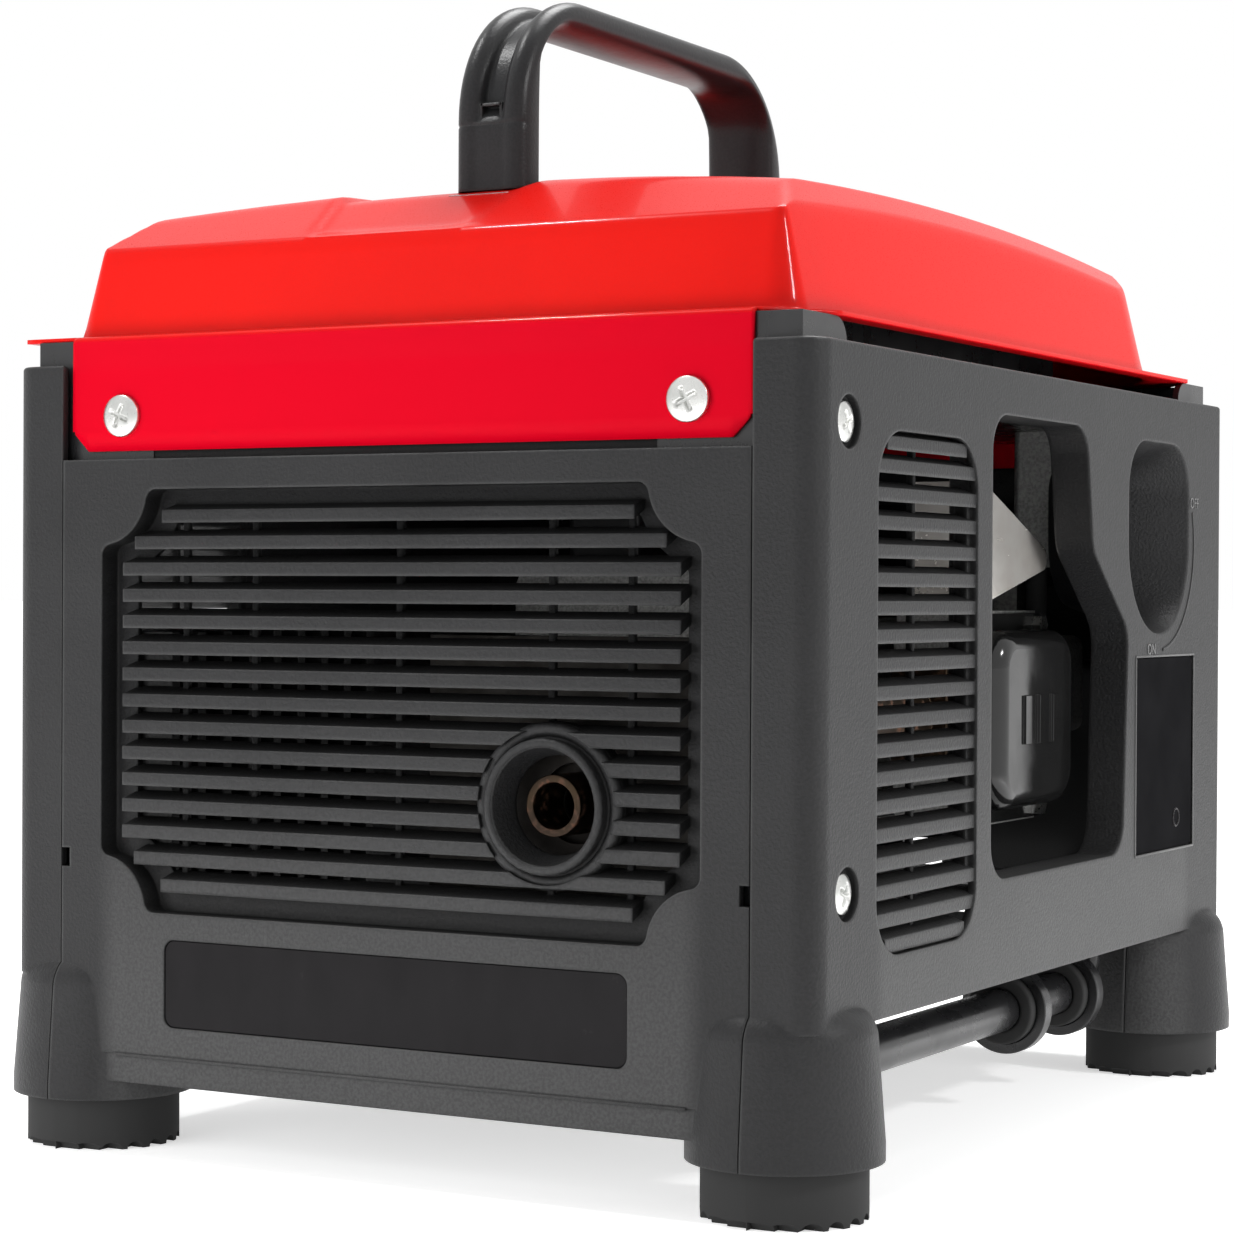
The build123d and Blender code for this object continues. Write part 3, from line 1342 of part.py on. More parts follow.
# Tray across the posts, fuel tank with its filler neck, and the cap
with BuildPart() as tank_tray:
    tray_half = half_width - tray_inset
    tray_reach = post_y - post_thickness
    slab((-tray_half, tray_half), (-tray_reach, tray_reach), (tray_z, tray_z + tray_sheet))
save(tank_tray, "tank_tray")

tank_bottom = tray_z + tray_sheet
neck_top = filler_seat + neck_rise


def tank_body(inset):
    """Rounded body of the tank drawn in by an inset."""
    with BuildPart() as body:
        slab((tank_x[0] + inset, tank_x[1] - inset), (tank_y[0] + inset, tank_y[1] - inset),
             (tank_bottom + inset, tank_top - inset))
        fillet(body.edges(), tank_fillet - inset)
    return body.part


with BuildPart() as fuel_tank:
    add(tank_body(0))
    rod_z(filler_x, filler_y, neck_radius, (tank_top - tank_wall, neck_top))
    add(tank_body(tank_wall), mode=Mode.SUBTRACT)
    rod_z(filler_x, filler_y, neck_bore, (tank_top - 2 * tank_wall, neck_top), mode=Mode.SUBTRACT)
save(fuel_tank, "fuel_tank")

with BuildPart() as fuel_cap:
    cap_span = (filler_seat + fuel_cap_lift, filler_seat + fuel_cap_height)
    rod_z(filler_x, filler_y, fuel_cap_radius, cap_span)
    fillet(fuel_cap.faces().sort_by(Axis.Z)[-1].edges(), cap_edge)
    for index in range(cap_notches):
        turn = 2 * pi * index / cap_notches
        reach = fuel_cap_radius + cap_notch_out
        rod_z(filler_x + reach * cos(turn), filler_y + reach * sin(turn), cap_notch, cap_span,
              mode=Mode.SUBTRACT)
    rod_z(filler_x, filler_y, neck_radius + rest_gap, (cap_span[0], neck_top + rest_gap), mode=Mode.SUBTRACT)
save(fuel_cap, "fuel_cap")

# Fuel tap under the tray, its lever in the scoop and the hose down to the carburettor
lever_shaft_end = tap_x[1] - lever_shaft_depth
with BuildPart() as fuel_tap:
    slab(tap_x, (lever_y - tap_half, lever_y + tap_half), (tap_bottom, tray_z))
    fillet(fuel_tap.edges().filter_by(Axis.Z), tap_fillet)
    rod_x(lever_y, lever_z, lever_shaft + running_gap, (lever_shaft_end, tap_x[1]), mode=Mode.SUBTRACT)
save(fuel_tap, "fuel_tap")

scoop_floor = half_width - scoop_depth
with BuildPart() as fuel_lever:
    lever_span = (scoop_floor + rest_gap, scoop_floor + lever_thickness)
    slab(lever_span, (lever_y, lever_y + lever_arm), (lever_z - lever_half, lever_z + lever_half))
    fillet(fuel_lever.edges().filter_by(Axis.X).group_by(Axis.Y)[-1], lever_round)
    rod_x(lever_y, lever_z, lever_hub, lever_span)
    rod_x(lever_y, lever_z, lever_shaft, (lever_shaft_end + rest_gap, lever_span[0]))
save(fuel_lever, "fuel_lever")

with BuildPart() as fuel_hose:
    rod_z(hose_x, hose_y, hose_radius, (carb_z[1], tap_bottom))
    rod_z(hose_x, hose_y, hose_bore, (carb_z[1], tap_bottom), mode=Mode.SUBTRACT)
save(fuel_hose, "fuel_hose")

# Inverter module with cooling fins
with BuildPart() as inverter_module:
    slab(inverter_x, inverter_y, (plate_top, inverter_top))
    inverter_pitch = (inverter_y[1] - inverter_y[0] - inverter_fin) / (inverter_fins - 1)
    for index in range(inverter_fins - 1):
        y = inverter_y[0] + inverter_fin + index * inverter_pitch
        slab((inverter_x[1] - inverter_fin_depth, inverter_x[1]), (y, y + inverter_pitch - inverter_fin),
             (plate_top, inverter_top), mode=Mode.SUBTRACT)
save(inverter_module, "inverter_module")

# Mains sockets with their hinge ears, and the lids that swing on them
flange_span = (fascia_y, fascia_y + socket_flange_thickness)
hinge_z = socket_z + lid_hinge_rise
with BuildPart() as ac_sockets:
    for x in socket_x:
        rod_y(x, socket_z, socket_flange, flange_span)
        rod_y(x, socket_z, socket_body, (fascia_y - socket_depth, fascia_y))
        rod_y(x, socket_z, socket_cup, (flange_span[1] - socket_cup_depth, flange_span[1]),
              mode=Mode.SUBTRACT)
        for shift in (-1, 1):
            ear = (x + shift * ear_x - ear_half, x + shift * ear_x + ear_half)
            slab(ear, flange_span, (socket_z + socket_flange - lid_tab_reach, hinge_z))
            slab(ear, (fascia_y, hinge_y), (hinge_z - ear_half, hinge_z + ear_half))
            rod_x(hinge_y, hinge_z, ear_round, ear)
            rod_x(hinge_y, hinge_z, lid_pin + running_gap, ear, mode=Mode.SUBTRACT)
            rod_y(x + shift * pin_hole_x, socket_z, pin_hole, (fascia_y - socket_depth + socket_floor,
                                                               fascia_y),
                  mode=Mode.SUBTRACT)
save(ac_sockets, "ac_sockets")

lid_span = (flange_span[1] + rest_gap, flange_span[1] + rest_gap + lid_disc_thickness)
for name, x in zip(("socket_lid_left", "socket_lid_right"), socket_x):
    with BuildPart() as socket_lid:
        rod_y(x, socket_z, lid_disc, lid_span)
        slab((x - lid_tab_half, x + lid_tab_half), lid_span, (socket_z + lid_disc - lid_tab_reach, hinge_z))
        rod_x(hinge_y, hinge_z, lid_knuckle, (x - lid_tab_half, x + lid_tab_half))
        rod_x(hinge_y, hinge_z, lid_pin, (x - ear_x - ear_half, x + ear_x + ear_half))
    save(socket_lid, name)

# Low-voltage socket, switches, breaker button, lamps and earth terminal
with BuildPart() as dc_socket:
    rod_y(dc_x, dc_z, dc_radius, flange_span)
    rod_y(dc_x, dc_z, dc_radius - dc_step, (fascia_y - dc_depth, fascia_y))
    rod_y(dc_x, dc_z, dc_bore, (fascia_y - dc_depth + dc_floor, flange_span[1]), mode=Mode.SUBTRACT)
save(dc_socket, "dc_socket")

off_tilt = radians(-switch_tilt)
for name, z in zip(("engine_switch", "eco_switch"), switch_z):
    with BuildPart() as rocker:
        half_rocker = switch_size[0] / 2 - rest_gap
        rocker_plane = Plane((switch_x - half_rocker, fascia_y - rocker_sink, z),
                             x_dir=(0, cos(off_tilt), sin(off_tilt)), z_dir=(1, 0, 0))
        with BuildSketch(rocker_plane):
            Polygon(*rocker_outline, align=None)
        extrude(amount=2 * half_rocker)
    save(rocker, name)

with BuildPart() as breaker_button:
    button_end = fascia_y + button_travel + button_stand
    collar_end = fascia_y - recess_wall - rest_gap
    rod_y(button_x, button_z, button_radius, (button_end - button_length, button_end))
    rod_y(button_x, button_z, button_collar[0], (collar_end - button_collar[1], collar_end))
save(breaker_button, "breaker_button")

with BuildPart() as indicator_lamps:
    for z in lamp_z:
        rod_y(lamp_x, z, lamp_radius, (fascia_y - lamp_length, fascia_y))
        rod_y(lamp_x, z, lamp_bezel[0], (fascia_y, fascia_y + lamp_bezel[1]))
save(indicator_lamps, "indicator_lamps")

with BuildPart() as earth_terminal:
    washer_end = half_length + earth_washer[1]
    nut_end = washer_end + earth_nut[1]
    rod_y(earth_x, earth_z, earth_radius, (nut_end - earth_length, nut_end + thread_end_gap))
    rod_y(earth_x, earth_z, earth_washer[0], (half_length, washer_end))
    with BuildSketch(end_plane(nut_end)):
        with Locations((earth_x, earth_z)):
            RegularPolygon(earth_nut[0], 6)
    extrude(amount=earth_nut[1])
save(earth_terminal, "earth_terminal")
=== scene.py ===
"""Dresses the portable generator: finishes, eased mouldings, pressed lid, bow handle and small hardware."""

import logging
import math
from abc import ABC, abstractmethod
from dataclasses import dataclass
from enum import Enum
from typing import Optional, Sequence, Union

import bmesh
import bpy
from mathutils import Matrix, Vector


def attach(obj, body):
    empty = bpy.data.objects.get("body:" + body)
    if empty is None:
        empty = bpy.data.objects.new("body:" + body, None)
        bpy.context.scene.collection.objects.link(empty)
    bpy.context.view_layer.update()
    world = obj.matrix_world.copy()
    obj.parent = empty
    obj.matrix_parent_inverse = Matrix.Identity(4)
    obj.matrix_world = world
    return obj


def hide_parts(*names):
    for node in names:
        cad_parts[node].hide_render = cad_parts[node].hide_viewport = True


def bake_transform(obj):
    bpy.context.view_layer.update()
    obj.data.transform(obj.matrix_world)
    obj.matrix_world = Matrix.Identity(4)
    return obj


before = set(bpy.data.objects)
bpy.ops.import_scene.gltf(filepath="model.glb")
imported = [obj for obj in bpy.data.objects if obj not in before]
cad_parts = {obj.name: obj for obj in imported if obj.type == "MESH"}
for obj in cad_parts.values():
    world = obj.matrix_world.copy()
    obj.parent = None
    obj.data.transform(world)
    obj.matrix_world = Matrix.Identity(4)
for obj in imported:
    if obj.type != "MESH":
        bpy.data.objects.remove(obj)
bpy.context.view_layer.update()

LOG = logging.getLogger("generator")
MM = 0.001
Number = Union[float, int]
Colour = tuple[float, float, float]
Point = tuple[float, float, float]
Span = tuple[float, float]
Shape = bmesh.types.BMesh
PANEL_SLOT = "panel_plastic"


class Axis(Enum):
    """Directions that fasteners and holes point along."""

    LEFT = (-1.0, 0.0, 0.0)
    RIGHT = (1.0, 0.0, 0.0)
    FRONT = (0.0, -1.0, 0.0)
    BACK = (0.0, 1.0, 0.0)
    UP = (0.0, 0.0, 1.0)

    @property
    def vector(self) -> Vector:
        """The direction as a vector."""
        return Vector(self.value)

    def across(self) -> tuple[Vector, Vector]:
        """Two directions square to this one and to each other."""
        side = self.vector.orthogonal().normalized()
        return side, self.vector.cross(side)


class Wire:
    """One output socket, with arithmetic that adds Math nodes."""

    def __init__(self, graph: "Graph", socket: bpy.types.NodeSocket) -> None:
        """Keep the graph and the socket."""
        self.graph = graph
        self.socket = socket

    def _math(self, operation: str, first: object, second: object) -> "Wire":
        """Add one Math node.

        Args:
            operation: Name of the Math operation.
            first: Left operand, a wire or a number.
            second: Right operand, a wire or a number.

        Returns:
            The node's output.
        """
        return self.graph.node("ShaderNodeMath", {"operation": operation}, {0: first, 1: second})

    def __add__(self, other: object) -> "Wire":
        """Sum."""
        return self._math("ADD", self, other)

    __radd__ = __add__

    def __sub__(self, other: object) -> "Wire":
        """Difference."""
        return self._math("SUBTRACT", self, other)

    def __rsub__(self, other: object) -> "Wire":
        """Difference from a number."""
        return self._math("SUBTRACT", other, self)

    def __mul__(self, other: object) -> "Wire":
        """Product."""
        return self._math("MULTIPLY", self, other)

    __rmul__ = __mul__

    def between(self, low: Number, high: Number) -> "Wire":
        """Smooth step from 0 at low to 1 at high.

        Args:
            low: Value that gives 0.
            high: Value that gives 1.

        Returns:
            The eased value.
        """
        settings = {"interpolation_type": "SMOOTHSTEP"}
        return self.graph.node("ShaderNodeMapRange", settings, {0: self, 1: low, 2: high})


class Graph:
    """Node tree of one material or of the world."""

    def __init__(self, owner: Union[bpy.types.Material, bpy.types.World]) -> None:
        """Start an empty tree with its output.

        Args:
            owner: Material or world that holds the tree.
        """
        owner.use_nodes = True
        self.owner = owner
        self.tree = owner.node_tree
        self.tree.nodes.clear()
        kind = "ShaderNodeOutputWorld" if isinstance(owner, bpy.types.World) else "ShaderNodeOutputMaterial"
        self.output = self.tree.nodes.new(kind)

    def node(self, kind: str, settings: dict, inputs: dict, output: Union[int, str] = 0) -> Wire:
        """Add any node.

        Args:
            kind: Type of the node.
            settings: Attributes, set first; "stops" fills a ramp.
            inputs: Values or wires by socket name or number.
            output: Socket that is returned.

        Returns:
            The chosen output.
        """
        made = self.tree.nodes.new(kind)
        for key, value in settings.items():
            if key == "stops":
                self._stops(made.color_ramp, value)
            else:
                setattr(made, key, value)
        for key, value in inputs.items():
            if isinstance(value, Wire):
                self.tree.links.new(value.socket, made.inputs[key])
            else:
                made.inputs[key].default_value = value
        return Wire(self, made.outputs[output])

    @staticmethod
    def _stops(ramp: bpy.types.ColorRamp, stops: Sequence[tuple[float, Colour]]) -> None:
        """Fill a colour ramp.

        Args:
            ramp: The ramp to fill.
            stops: Places and colours, in order.
        """
        while len(ramp.elements) < len(stops):
            ramp.elements.new(1.0)
        for element, (place, colour) in zip(ramp.elements, stops):
            element.position = place
            element.color = (*colour, 1.0)

    def place(self, stretch: Point = (1.0, 1.0, 1.0)) -> Wire:
        """Object coordinates in metres, stretched along the axes.

        Args:
            stretch: Factor on each axis.

        Returns:
            The coordinates.
        """
        spot = self.node("ShaderNodeTexCoord", {}, {}, "Object")
        if stretch == (1.0, 1.0, 1.0):
            return spot
        return self.node("ShaderNodeVectorMath", {"operation": "MULTIPLY"}, {0: spot, 1: stretch})

    def axis(self, index: int) -> Wire:
        """One of the object coordinates, 0 to 2, in metres."""
        return self.node("ShaderNodeSeparateXYZ", {}, {0: self.place()}, index)

    def noise(self, size: float, detail: float = 3.0, stretch: Point = (1.0, 1.0, 1.0)) -> Wire:
        """Cloudy noise with blobs of about a size.

        Args:
            size: Size of a blob in metres.
            detail: Octaves.
            stretch: Factor on each axis before the noise.

        Returns:
            Values about 0.5.
        """
        inputs = {"Vector": self.place(stretch), "Scale": 1.0 / size, "Detail": detail, "Roughness": 0.55}
        return self.node("ShaderNodeTexNoise", {}, inputs, 0)

    def cells(self, size: float) -> Wire:
        """Distance to the nearest of scattered points.

        Args:
            size: Spacing of the points in metres.

        Returns:
            The distance, in cells.
        """
        inputs = {"Vector": self.place(), "Scale": 1.0 / size}
        return self.node("ShaderNodeTexVoronoi", {}, inputs, "Distance")

    def mix(self, share: object, low: object, high: object) -> Wire:
        """Blend two colours.

        Args:
            share: 0 gives low, 1 gives high.
            low: First colour or wire.
            high: Second colour or wire.

        Returns:
            The blended colour.
        """
        low = (*low, 1.0) if isinstance(low, tuple) else low
        high = (*high, 1.0) if isinstance(high, tuple) else high
        return self.node("ShaderNodeMix", {"data_type": "RGBA"}, {0: share, 6: low, 7: high}, 2)

    def bump(self, height: Wire, depth: float, strength: float = 1.0, under: object = None) -> Wire:
        """Turn a height into a normal.

        Args:
            height: Height in shares of depth.
            depth: Full height in metres.
            strength: Share of the effect.
            under: Normal that this one sits on.

        Returns:
            The normal.
        """
        inputs = {"Strength": strength, "Distance": depth, "Height": height}
        if under is not None:
            inputs["Normal"] = under
        return self.node("ShaderNodeBump", {}, inputs)

    def surface(self, **inputs: object) -> None:
        """Finish with a Principled shader.

        Args:
            **inputs: Socket values, with underscores for spaces.
        """
        named = {}
        for key, value in inputs.items():
            label = key.replace("_", " ")
            if label in ("Base Color", "Emission Color") and isinstance(value, tuple):
                value = (*value, 1.0)
            named[label] = value
        self.close(self.node("ShaderNodeBsdfPrincipled", {}, named))

    def close(self, shader: Wire) -> None:
        """Lead a shader to the output.

        Args:
            shader: Output of a shader node.
        """
        self.tree.links.new(shader.socket, self.output.inputs["Surface"])


@dataclass(frozen=True)
class Finish(ABC):
    """A surface finish that makes its material once."""

    name: str

    @abstractmethod
    def paint(self, graph: Graph) -> None:
        """Fill the material's tree."""

    def material(self) -> bpy.types.Material:
        """The finish as a material, made on first use."""
        if self.name not in bpy.data.materials:
            self.paint(Graph(bpy.data.materials.new(self.name)))
        return bpy.data.materials[self.name]


@dataclass(frozen=True)
class Moulded(Finish):
    """Injection-moulded plastic with a spark-eroded grain.

    Dust settles low down, except on the four boots, whose limits are squares of places in metres.
    """

    colour: Colour = (0.009, 0.009, 0.0095)
    roughness: float = 0.46
    gloss: float = 0.3
    grain: float = 0.0011
    depth: float = 0.0003
    # Reach of the painted shade that ambient occlusion lays in corners and recesses.
    shade_reach: float = 0.014
    dust: float = 0.42
    # Share of the painted highlight that lightens the edges.
    edge_highlight_share: float = 0.8
    # Pale colour of the settled dust and of the painted edge highlights.
    dust_and_edge_highlight: Colour = (0.075, 0.075, 0.075)
    edge: float = 0.0018
    settling: Span = (0.03, 0.17)
    boots_across: Span = (0.0117, 0.0142)
    boots_along: Span = (0.0207, 0.0240)

    def paint(self, graph: Graph) -> None:
        """Grain, faint flow clouds, painted shade in corners and recesses, settled dust, and a painted
        highlight that lightens the edges.
        """
        clouds = graph.noise(0.06, 4.0)
        dust = graph.noise(0.004, 2.0)
        pale = tuple(min(1.0, channel * 1.5 + 0.004) for channel in self.colour)
        # Darker copy of the colour, used for the painted shade in recesses.
        darkened = tuple(channel * 0.25 for channel in self.colour)
        grain = graph.noise(self.grain, 2.0)
        fleck = grain.between(0.32, 0.68)
        clean = graph.mix(clouds.between(0.35, 0.75) * 0.4 + fleck * 0.45, self.colour, pale)
        # Painted shade: ambient occlusion blends corners and recesses towards the darker copy of the colour.
        open_to = graph.node("ShaderNodeAmbientOcclusion", {"samples": 6}, {"Distance": self.shade_reach}, "AO")
        clear = open_to.between(0.15, 0.75)
        across, along, level = (graph.axis(index) for index in range(3))
        boots = (across * across).between(*self.boots_across) * (along * along).between(*self.boots_along)
        settled = (1.0 - level.between(*self.settling)) * (1.0 - boots) * self.dust
        dusty = graph.mix(settled * (fleck * 0.5 + 0.75), clean, self.dust_and_edge_highlight)
        eased = graph.node("ShaderNodeBevel", {"samples": 6}, {"Radius": self.edge})
        plain = graph.node("ShaderNodeNewGeometry", {}, {}, "Normal")
        facing = {0: eased, 1: plain}
        turned = graph.node("ShaderNodeVectorMath", {"operation": "DOT_PRODUCT"}, facing, "Value")
        # Painted highlight: edges, where the rounded normal turns away from the true one, are lightened
        # towards the pale colour.
        dust_and_edge_highlight = (1.0 - turned).between(0.02, 0.3) * clouds.between(0.25, 0.6)
        # The painted shade darkens the mix of dust and painted edge highlight.
        colour = graph.mix(clear, darkened, graph.mix(dust_and_edge_highlight * self.edge_highlight_share, dusty, self.dust_and_edge_highlight))
        rough = clouds * 0.12 + dust * 0.06 + (1.0 - clear) * 0.4 + (self.roughness - 0.09)
        graph.surface(Base_Color=colour, Roughness=rough, Specular_IOR_Level=self.gloss,
                      Normal=graph.bump(grain, self.depth, 0.8, eased))


@dataclass(frozen=True)
class Enamel(Finish):
    """Gloss paint on pressed sheet, with a darker, bluer copy of the red painted on the aprons below the
    flange as painted shade.
    """

    colour: Colour = (0.68, 0.007, 0.0035)
    shade: Colour = (0.58, 0.0045, 0.003)
    # Painted shade: darker, bluer copy of the lid's red for the aprons.
    apron: Colour = (0.53, 0.0006, 0.011)
    flange: float = 0.2805
    roughness: float = 0.3
    coat: float = 0.15

    def paint(self, graph: Graph) -> None:
        """Orange peel, fine flake and a thin clear coat."""
        flake = graph.cells(0.0009)
        clouds = graph.noise(0.09, 3.0)
        bright = graph.mix(clouds.between(0.3, 0.7) * 0.4 + flake * 0.25, self.colour, self.shade)
        above = graph.axis(2).between(self.flange - MM, self.flange + MM)
        rough = flake * 0.1 + (1.0 - above) * 0.12 + (self.roughness - 0.05)
        peel = graph.noise(0.005, 2.0)
        # Below the flange the base colour switches to the painted apron shade.
        graph.surface(Base_Color=graph.mix(above, self.apron, bright), Roughness=rough,
                      Coat_Weight=above * self.coat, Coat_Roughness=0.07, Specular_IOR_Level=0.04,
                      Normal=graph.bump(peel, 0.00005, 0.5))


@dataclass(frozen=True)
class GlossBlack(Finish):
    """Smooth black paint or film with faint smears."""

    colour: Colour = (0.006, 0.006, 0.0065)
    roughness: float = 0.14
    gloss: float = 0.5

    def paint(self, graph: Graph) -> None:
        """Smears in the gloss and a slight ripple."""
        smear = graph.noise(0.012, 4.0, (1.0, 0.5, 0.5))
        fine = graph.noise(0.0012, 2.0)
        lighter = tuple(channel * 2.0 + 0.002 for channel in self.colour)
        graph.surface(Base_Color=graph.mix(smear, self.colour, lighter),
                      Roughness=smear.between(0.35, 0.8) * 0.14 + fine * 0.04 + (self.roughness - 0.02),
                      Specular_IOR_Level=self.gloss, Normal=graph.bump(smear, 0.00006, 0.4))


@dataclass(frozen=True)
class Metal(Finish):
    """Bare or plated metal with drawn lines and blotches."""

    colour: Colour = (0.66, 0.65, 0.62)
    stain: Colour = (0.5, 0.48, 0.44)
    roughness: float = 0.28
    lines: Point = (1.0, 1.0, 1.0)
    size: float = 0.003
    depth: float = 0.00003
    metallic: float = 1.0

    def paint(self, graph: Graph) -> None:
        """Blotches of stain, lines in the roughness and a shallow bump."""
        blotch = graph.noise(self.size * 4.0, 4.0)
        drawn = graph.noise(self.size * 0.3, 3.0, self.lines)
        colour = graph.mix(blotch.between(0.38, 0.68), self.colour, self.stain)
        graph.surface(Base_Color=colour, Metallic=self.metallic,
                      Roughness=drawn * 0.2 + blotch * 0.12 + (self.roughness - 0.16),
                      Normal=graph.bump(drawn, self.depth, 0.7))


@dataclass(frozen=True)
class HeatedSteel(Finish):
    """Steel that hot gas has browned, with rust in the pits."""

    def paint(self, graph: Graph) -> None:
        """Straw and brown temper colours under patches of rust."""
        heat = graph.noise(0.03, 3.0)
        rust = graph.noise(0.0045, 5.0)
        stops = [(0.25, (0.034, 0.027, 0.022)), (0.5, (0.05, 0.034, 0.021)), (0.75, (0.024, 0.018, 0.017))]
        temper = graph.node("ShaderNodeValToRGB", {"stops": stops}, {0: heat})
        spots = rust.between(0.52, 0.66)
        graph.surface(Base_Color=graph.mix(spots, temper, (0.07, 0.028, 0.013)), Metallic=1.0 - spots * 0.9,
                      Roughness=spots * 0.35 + rust * 0.15 + 0.35, Normal=graph.bump(rust, 0.0003, 0.6))


@dataclass(frozen=True)
class CastAlloy(Finish):
    """Sand-cast aluminium."""

    colour: Colour = (0.42, 0.42, 0.41)

    def paint(self, graph: Graph) -> None:
        """Sandy skin with dull and bright grains."""
        sand = graph.noise(0.0011, 4.0)
        pores = graph.cells(0.0016)
        dull = tuple(channel * 0.55 for channel in self.colour)
        graph.surface(Base_Color=graph.mix(sand.between(0.3, 0.7), dull, self.colour), Metallic=0.85,
                      Roughness=sand * 0.25 + 0.38, Normal=graph.bump(sand * 0.7 + pores * 0.3, 0.0003, 0.6))


@dataclass(frozen=True)
class Rubber(Finish):
    """Dull moulded rubber with a dusty bloom."""

    colour: Colour = (0.013, 0.013, 0.013)

    def paint(self, graph: Graph) -> None:
        """Bloom in patches over a fine grain."""
        bloom = graph.noise(0.012, 4.0)
        grain = graph.noise(0.0009, 3.0)
        dusty = tuple(channel + 0.022 for channel in self.colour)
        graph.surface(Base_Color=graph.mix(bloom.between(0.4, 0.8) * 0.7, self.colour, dusty),
                      Roughness=bloom * 0.2 + grain * 0.1 + 0.5, Normal=graph.bump(grain, 0.0001, 0.7))


@dataclass(frozen=True)
class Lens(Finish):
    """Coloured clear plastic of an indicator lamp."""

    colour: Colour = (0.1, 0.5, 0.1)

    def paint(self, graph: Graph) -> None:
        """Faceted shading inside a smooth skin."""
        facet = graph.cells(0.0012)
        deep = tuple(channel * 0.35 for channel in self.colour)
        graph.surface(Base_Color=graph.mix(facet, deep, self.colour), Roughness=facet * 0.1 + 0.08,
                      Coat_Weight=0.6, Normal=graph.bump(facet, 0.0002, 0.3))


@dataclass(frozen=True)
class Foam(Finish):
    """Open-cell filter foam."""

    def paint(self, graph: Graph) -> None:
        """Dark cells with paler webs."""
        cell = graph.cells(0.0012)
        graph.surface(Base_Color=graph.mix(cell, (0.01, 0.01, 0.012), (0.07, 0.07, 0.075)), Roughness=0.95,
                      Normal=graph.bump(cell, 0.0008, 1.0))


@dataclass(frozen=True)
class Braid(Finish):
    """Braided starter rope with a light fleck."""

    def paint(self, graph: Graph) -> None:
        """Crossing strands along the rope."""
        waves = []
        for lean in (700.0, -700.0):
            slant = graph.place((1800.0, lean, lean))
            waves.append(graph.node("ShaderNodeTexWave", {"bands_direction": "DIAGONAL"},
                                    {"Vector": slant, "Scale": 0.35, "Distortion": 0.0}, 1))
        strands = waves[0] * 0.5 + waves[1] * 0.5
        fleck = waves[0].between(0.8, 0.95)
        graph.surface(Base_Color=graph.mix(fleck * 0.6, (0.02, 0.02, 0.022), (0.5, 0.48, 0.44)),
                      Roughness=strands * 0.2 + 0.6, Normal=graph.bump(strands, 0.0004, 0.8))


PANEL = Moulded("panel plastic")
HANDLE = Moulded("handle plastic", (0.012, 0.012, 0.0128), 0.33, 0.2, 0.0009, 0.00012)
BLACK = Moulded("satin black plastic", (0.008, 0.008, 0.0085), 0.42, 0.4, 0.0005, 0.00003)
FASCIA_GREY = Moulded("grey socket plastic", (0.09, 0.09, 0.095), 0.4, 0.4, 0.0005, 0.00003)
LID_RED = Enamel("red enamel")
BUTTON_RED = Moulded("red button plastic", (0.5, 0.012, 0.012), 0.3, 0.5, 0.0008, 0.00002, dust=0.0, edge_highlight_share=0.0)
FILM = GlossBlack("black film", (0.006, 0.0055, 0.006), 0.16, 0.07)
PLATE_FILM = GlossBlack("rating film", (0.006, 0.006, 0.0065), 0.35, 0.0)
# Painted highlight: the rating plate's rim is a lighter grey than the panel, standing for light on its
# rounded edges.
RIM_HIGHLIGHT = Moulded("plate rim painted highlight", (0.07, 0.07, 0.07), 0.4, 0.4, 0.0006, 0.00003)
COVER_PAINT = GlossBlack("cover paint", (0.004, 0.004, 0.004), 0.08)
BLACK_PAINT = GlossBlack("black frame paint", (0.008, 0.008, 0.0085), 0.24)
ZINC = Metal("zinc plate", (0.72, 0.72, 0.70), (0.56, 0.57, 0.55), 0.3)
POLISHED = Metal("polished steel", (0.6, 0.58, 0.55), (0.48, 0.45, 0.41), 0.24, (1.0, 0.12, 1.0), 0.009,
                 0.00002, 0.65)
SOOTY_STEEL = Metal("sooty steel", (0.05, 0.047, 0.044), (0.03, 0.027, 0.025), 0.55)
BARE_STEEL = Metal("bare steel", (0.42, 0.40, 0.38), (0.3, 0.27, 0.24), 0.42)
EXHAUST = HeatedSteel("heated steel")
ALLOY = CastAlloy("cast alloy")
DULL_ALLOY = CastAlloy("black finned alloy", (0.045, 0.045, 0.045))
RUBBER = Rubber("rubber")
FOAM = Foam("filter foam")
ROPE = Braid("starter rope")
MARK_GREY = Moulded("raised mark plastic", (0.17, 0.17, 0.17), 0.5, 0.4, 0.0006, 0.00003)


def ease(value: float, low: float, high: float) -> float:
    """Smooth step from 0 at low to 1 at high."""
    share = min(1.0, max(0.0, (value - low) / (high - low)))
    return share * share * (3.0 - 2.0 * share)


def soft_min(first: float, second: float, blend: float) -> float:
    """Smaller of two values, rounded where they cross.

    Args:
        first: One value.
        second: The other value.
        blend: Width of the rounding.

    Returns:
        The rounded minimum.
    """
    share = min(1.0, max(0.0, 0.5 + 0.5 * (second - first) / blend))
    return second + (first - second) * share - blend * share * (1.0 - share)


def spread(stops: Sequence[float], step: float) -> list[float]:
    """Values that hit each stop, with about an even step between them.

    Args:
        stops: Values that have to appear, in rising order.
        step: Largest step.

    Returns:
        The values.
    """
    values = [stops[0]]
    for low, high in zip(stops, stops[1:]):
        count = max(1, math.ceil((high - low) / step))
        values += [low + (high - low) * (index + 1) / count for index in range(count)]
    return values


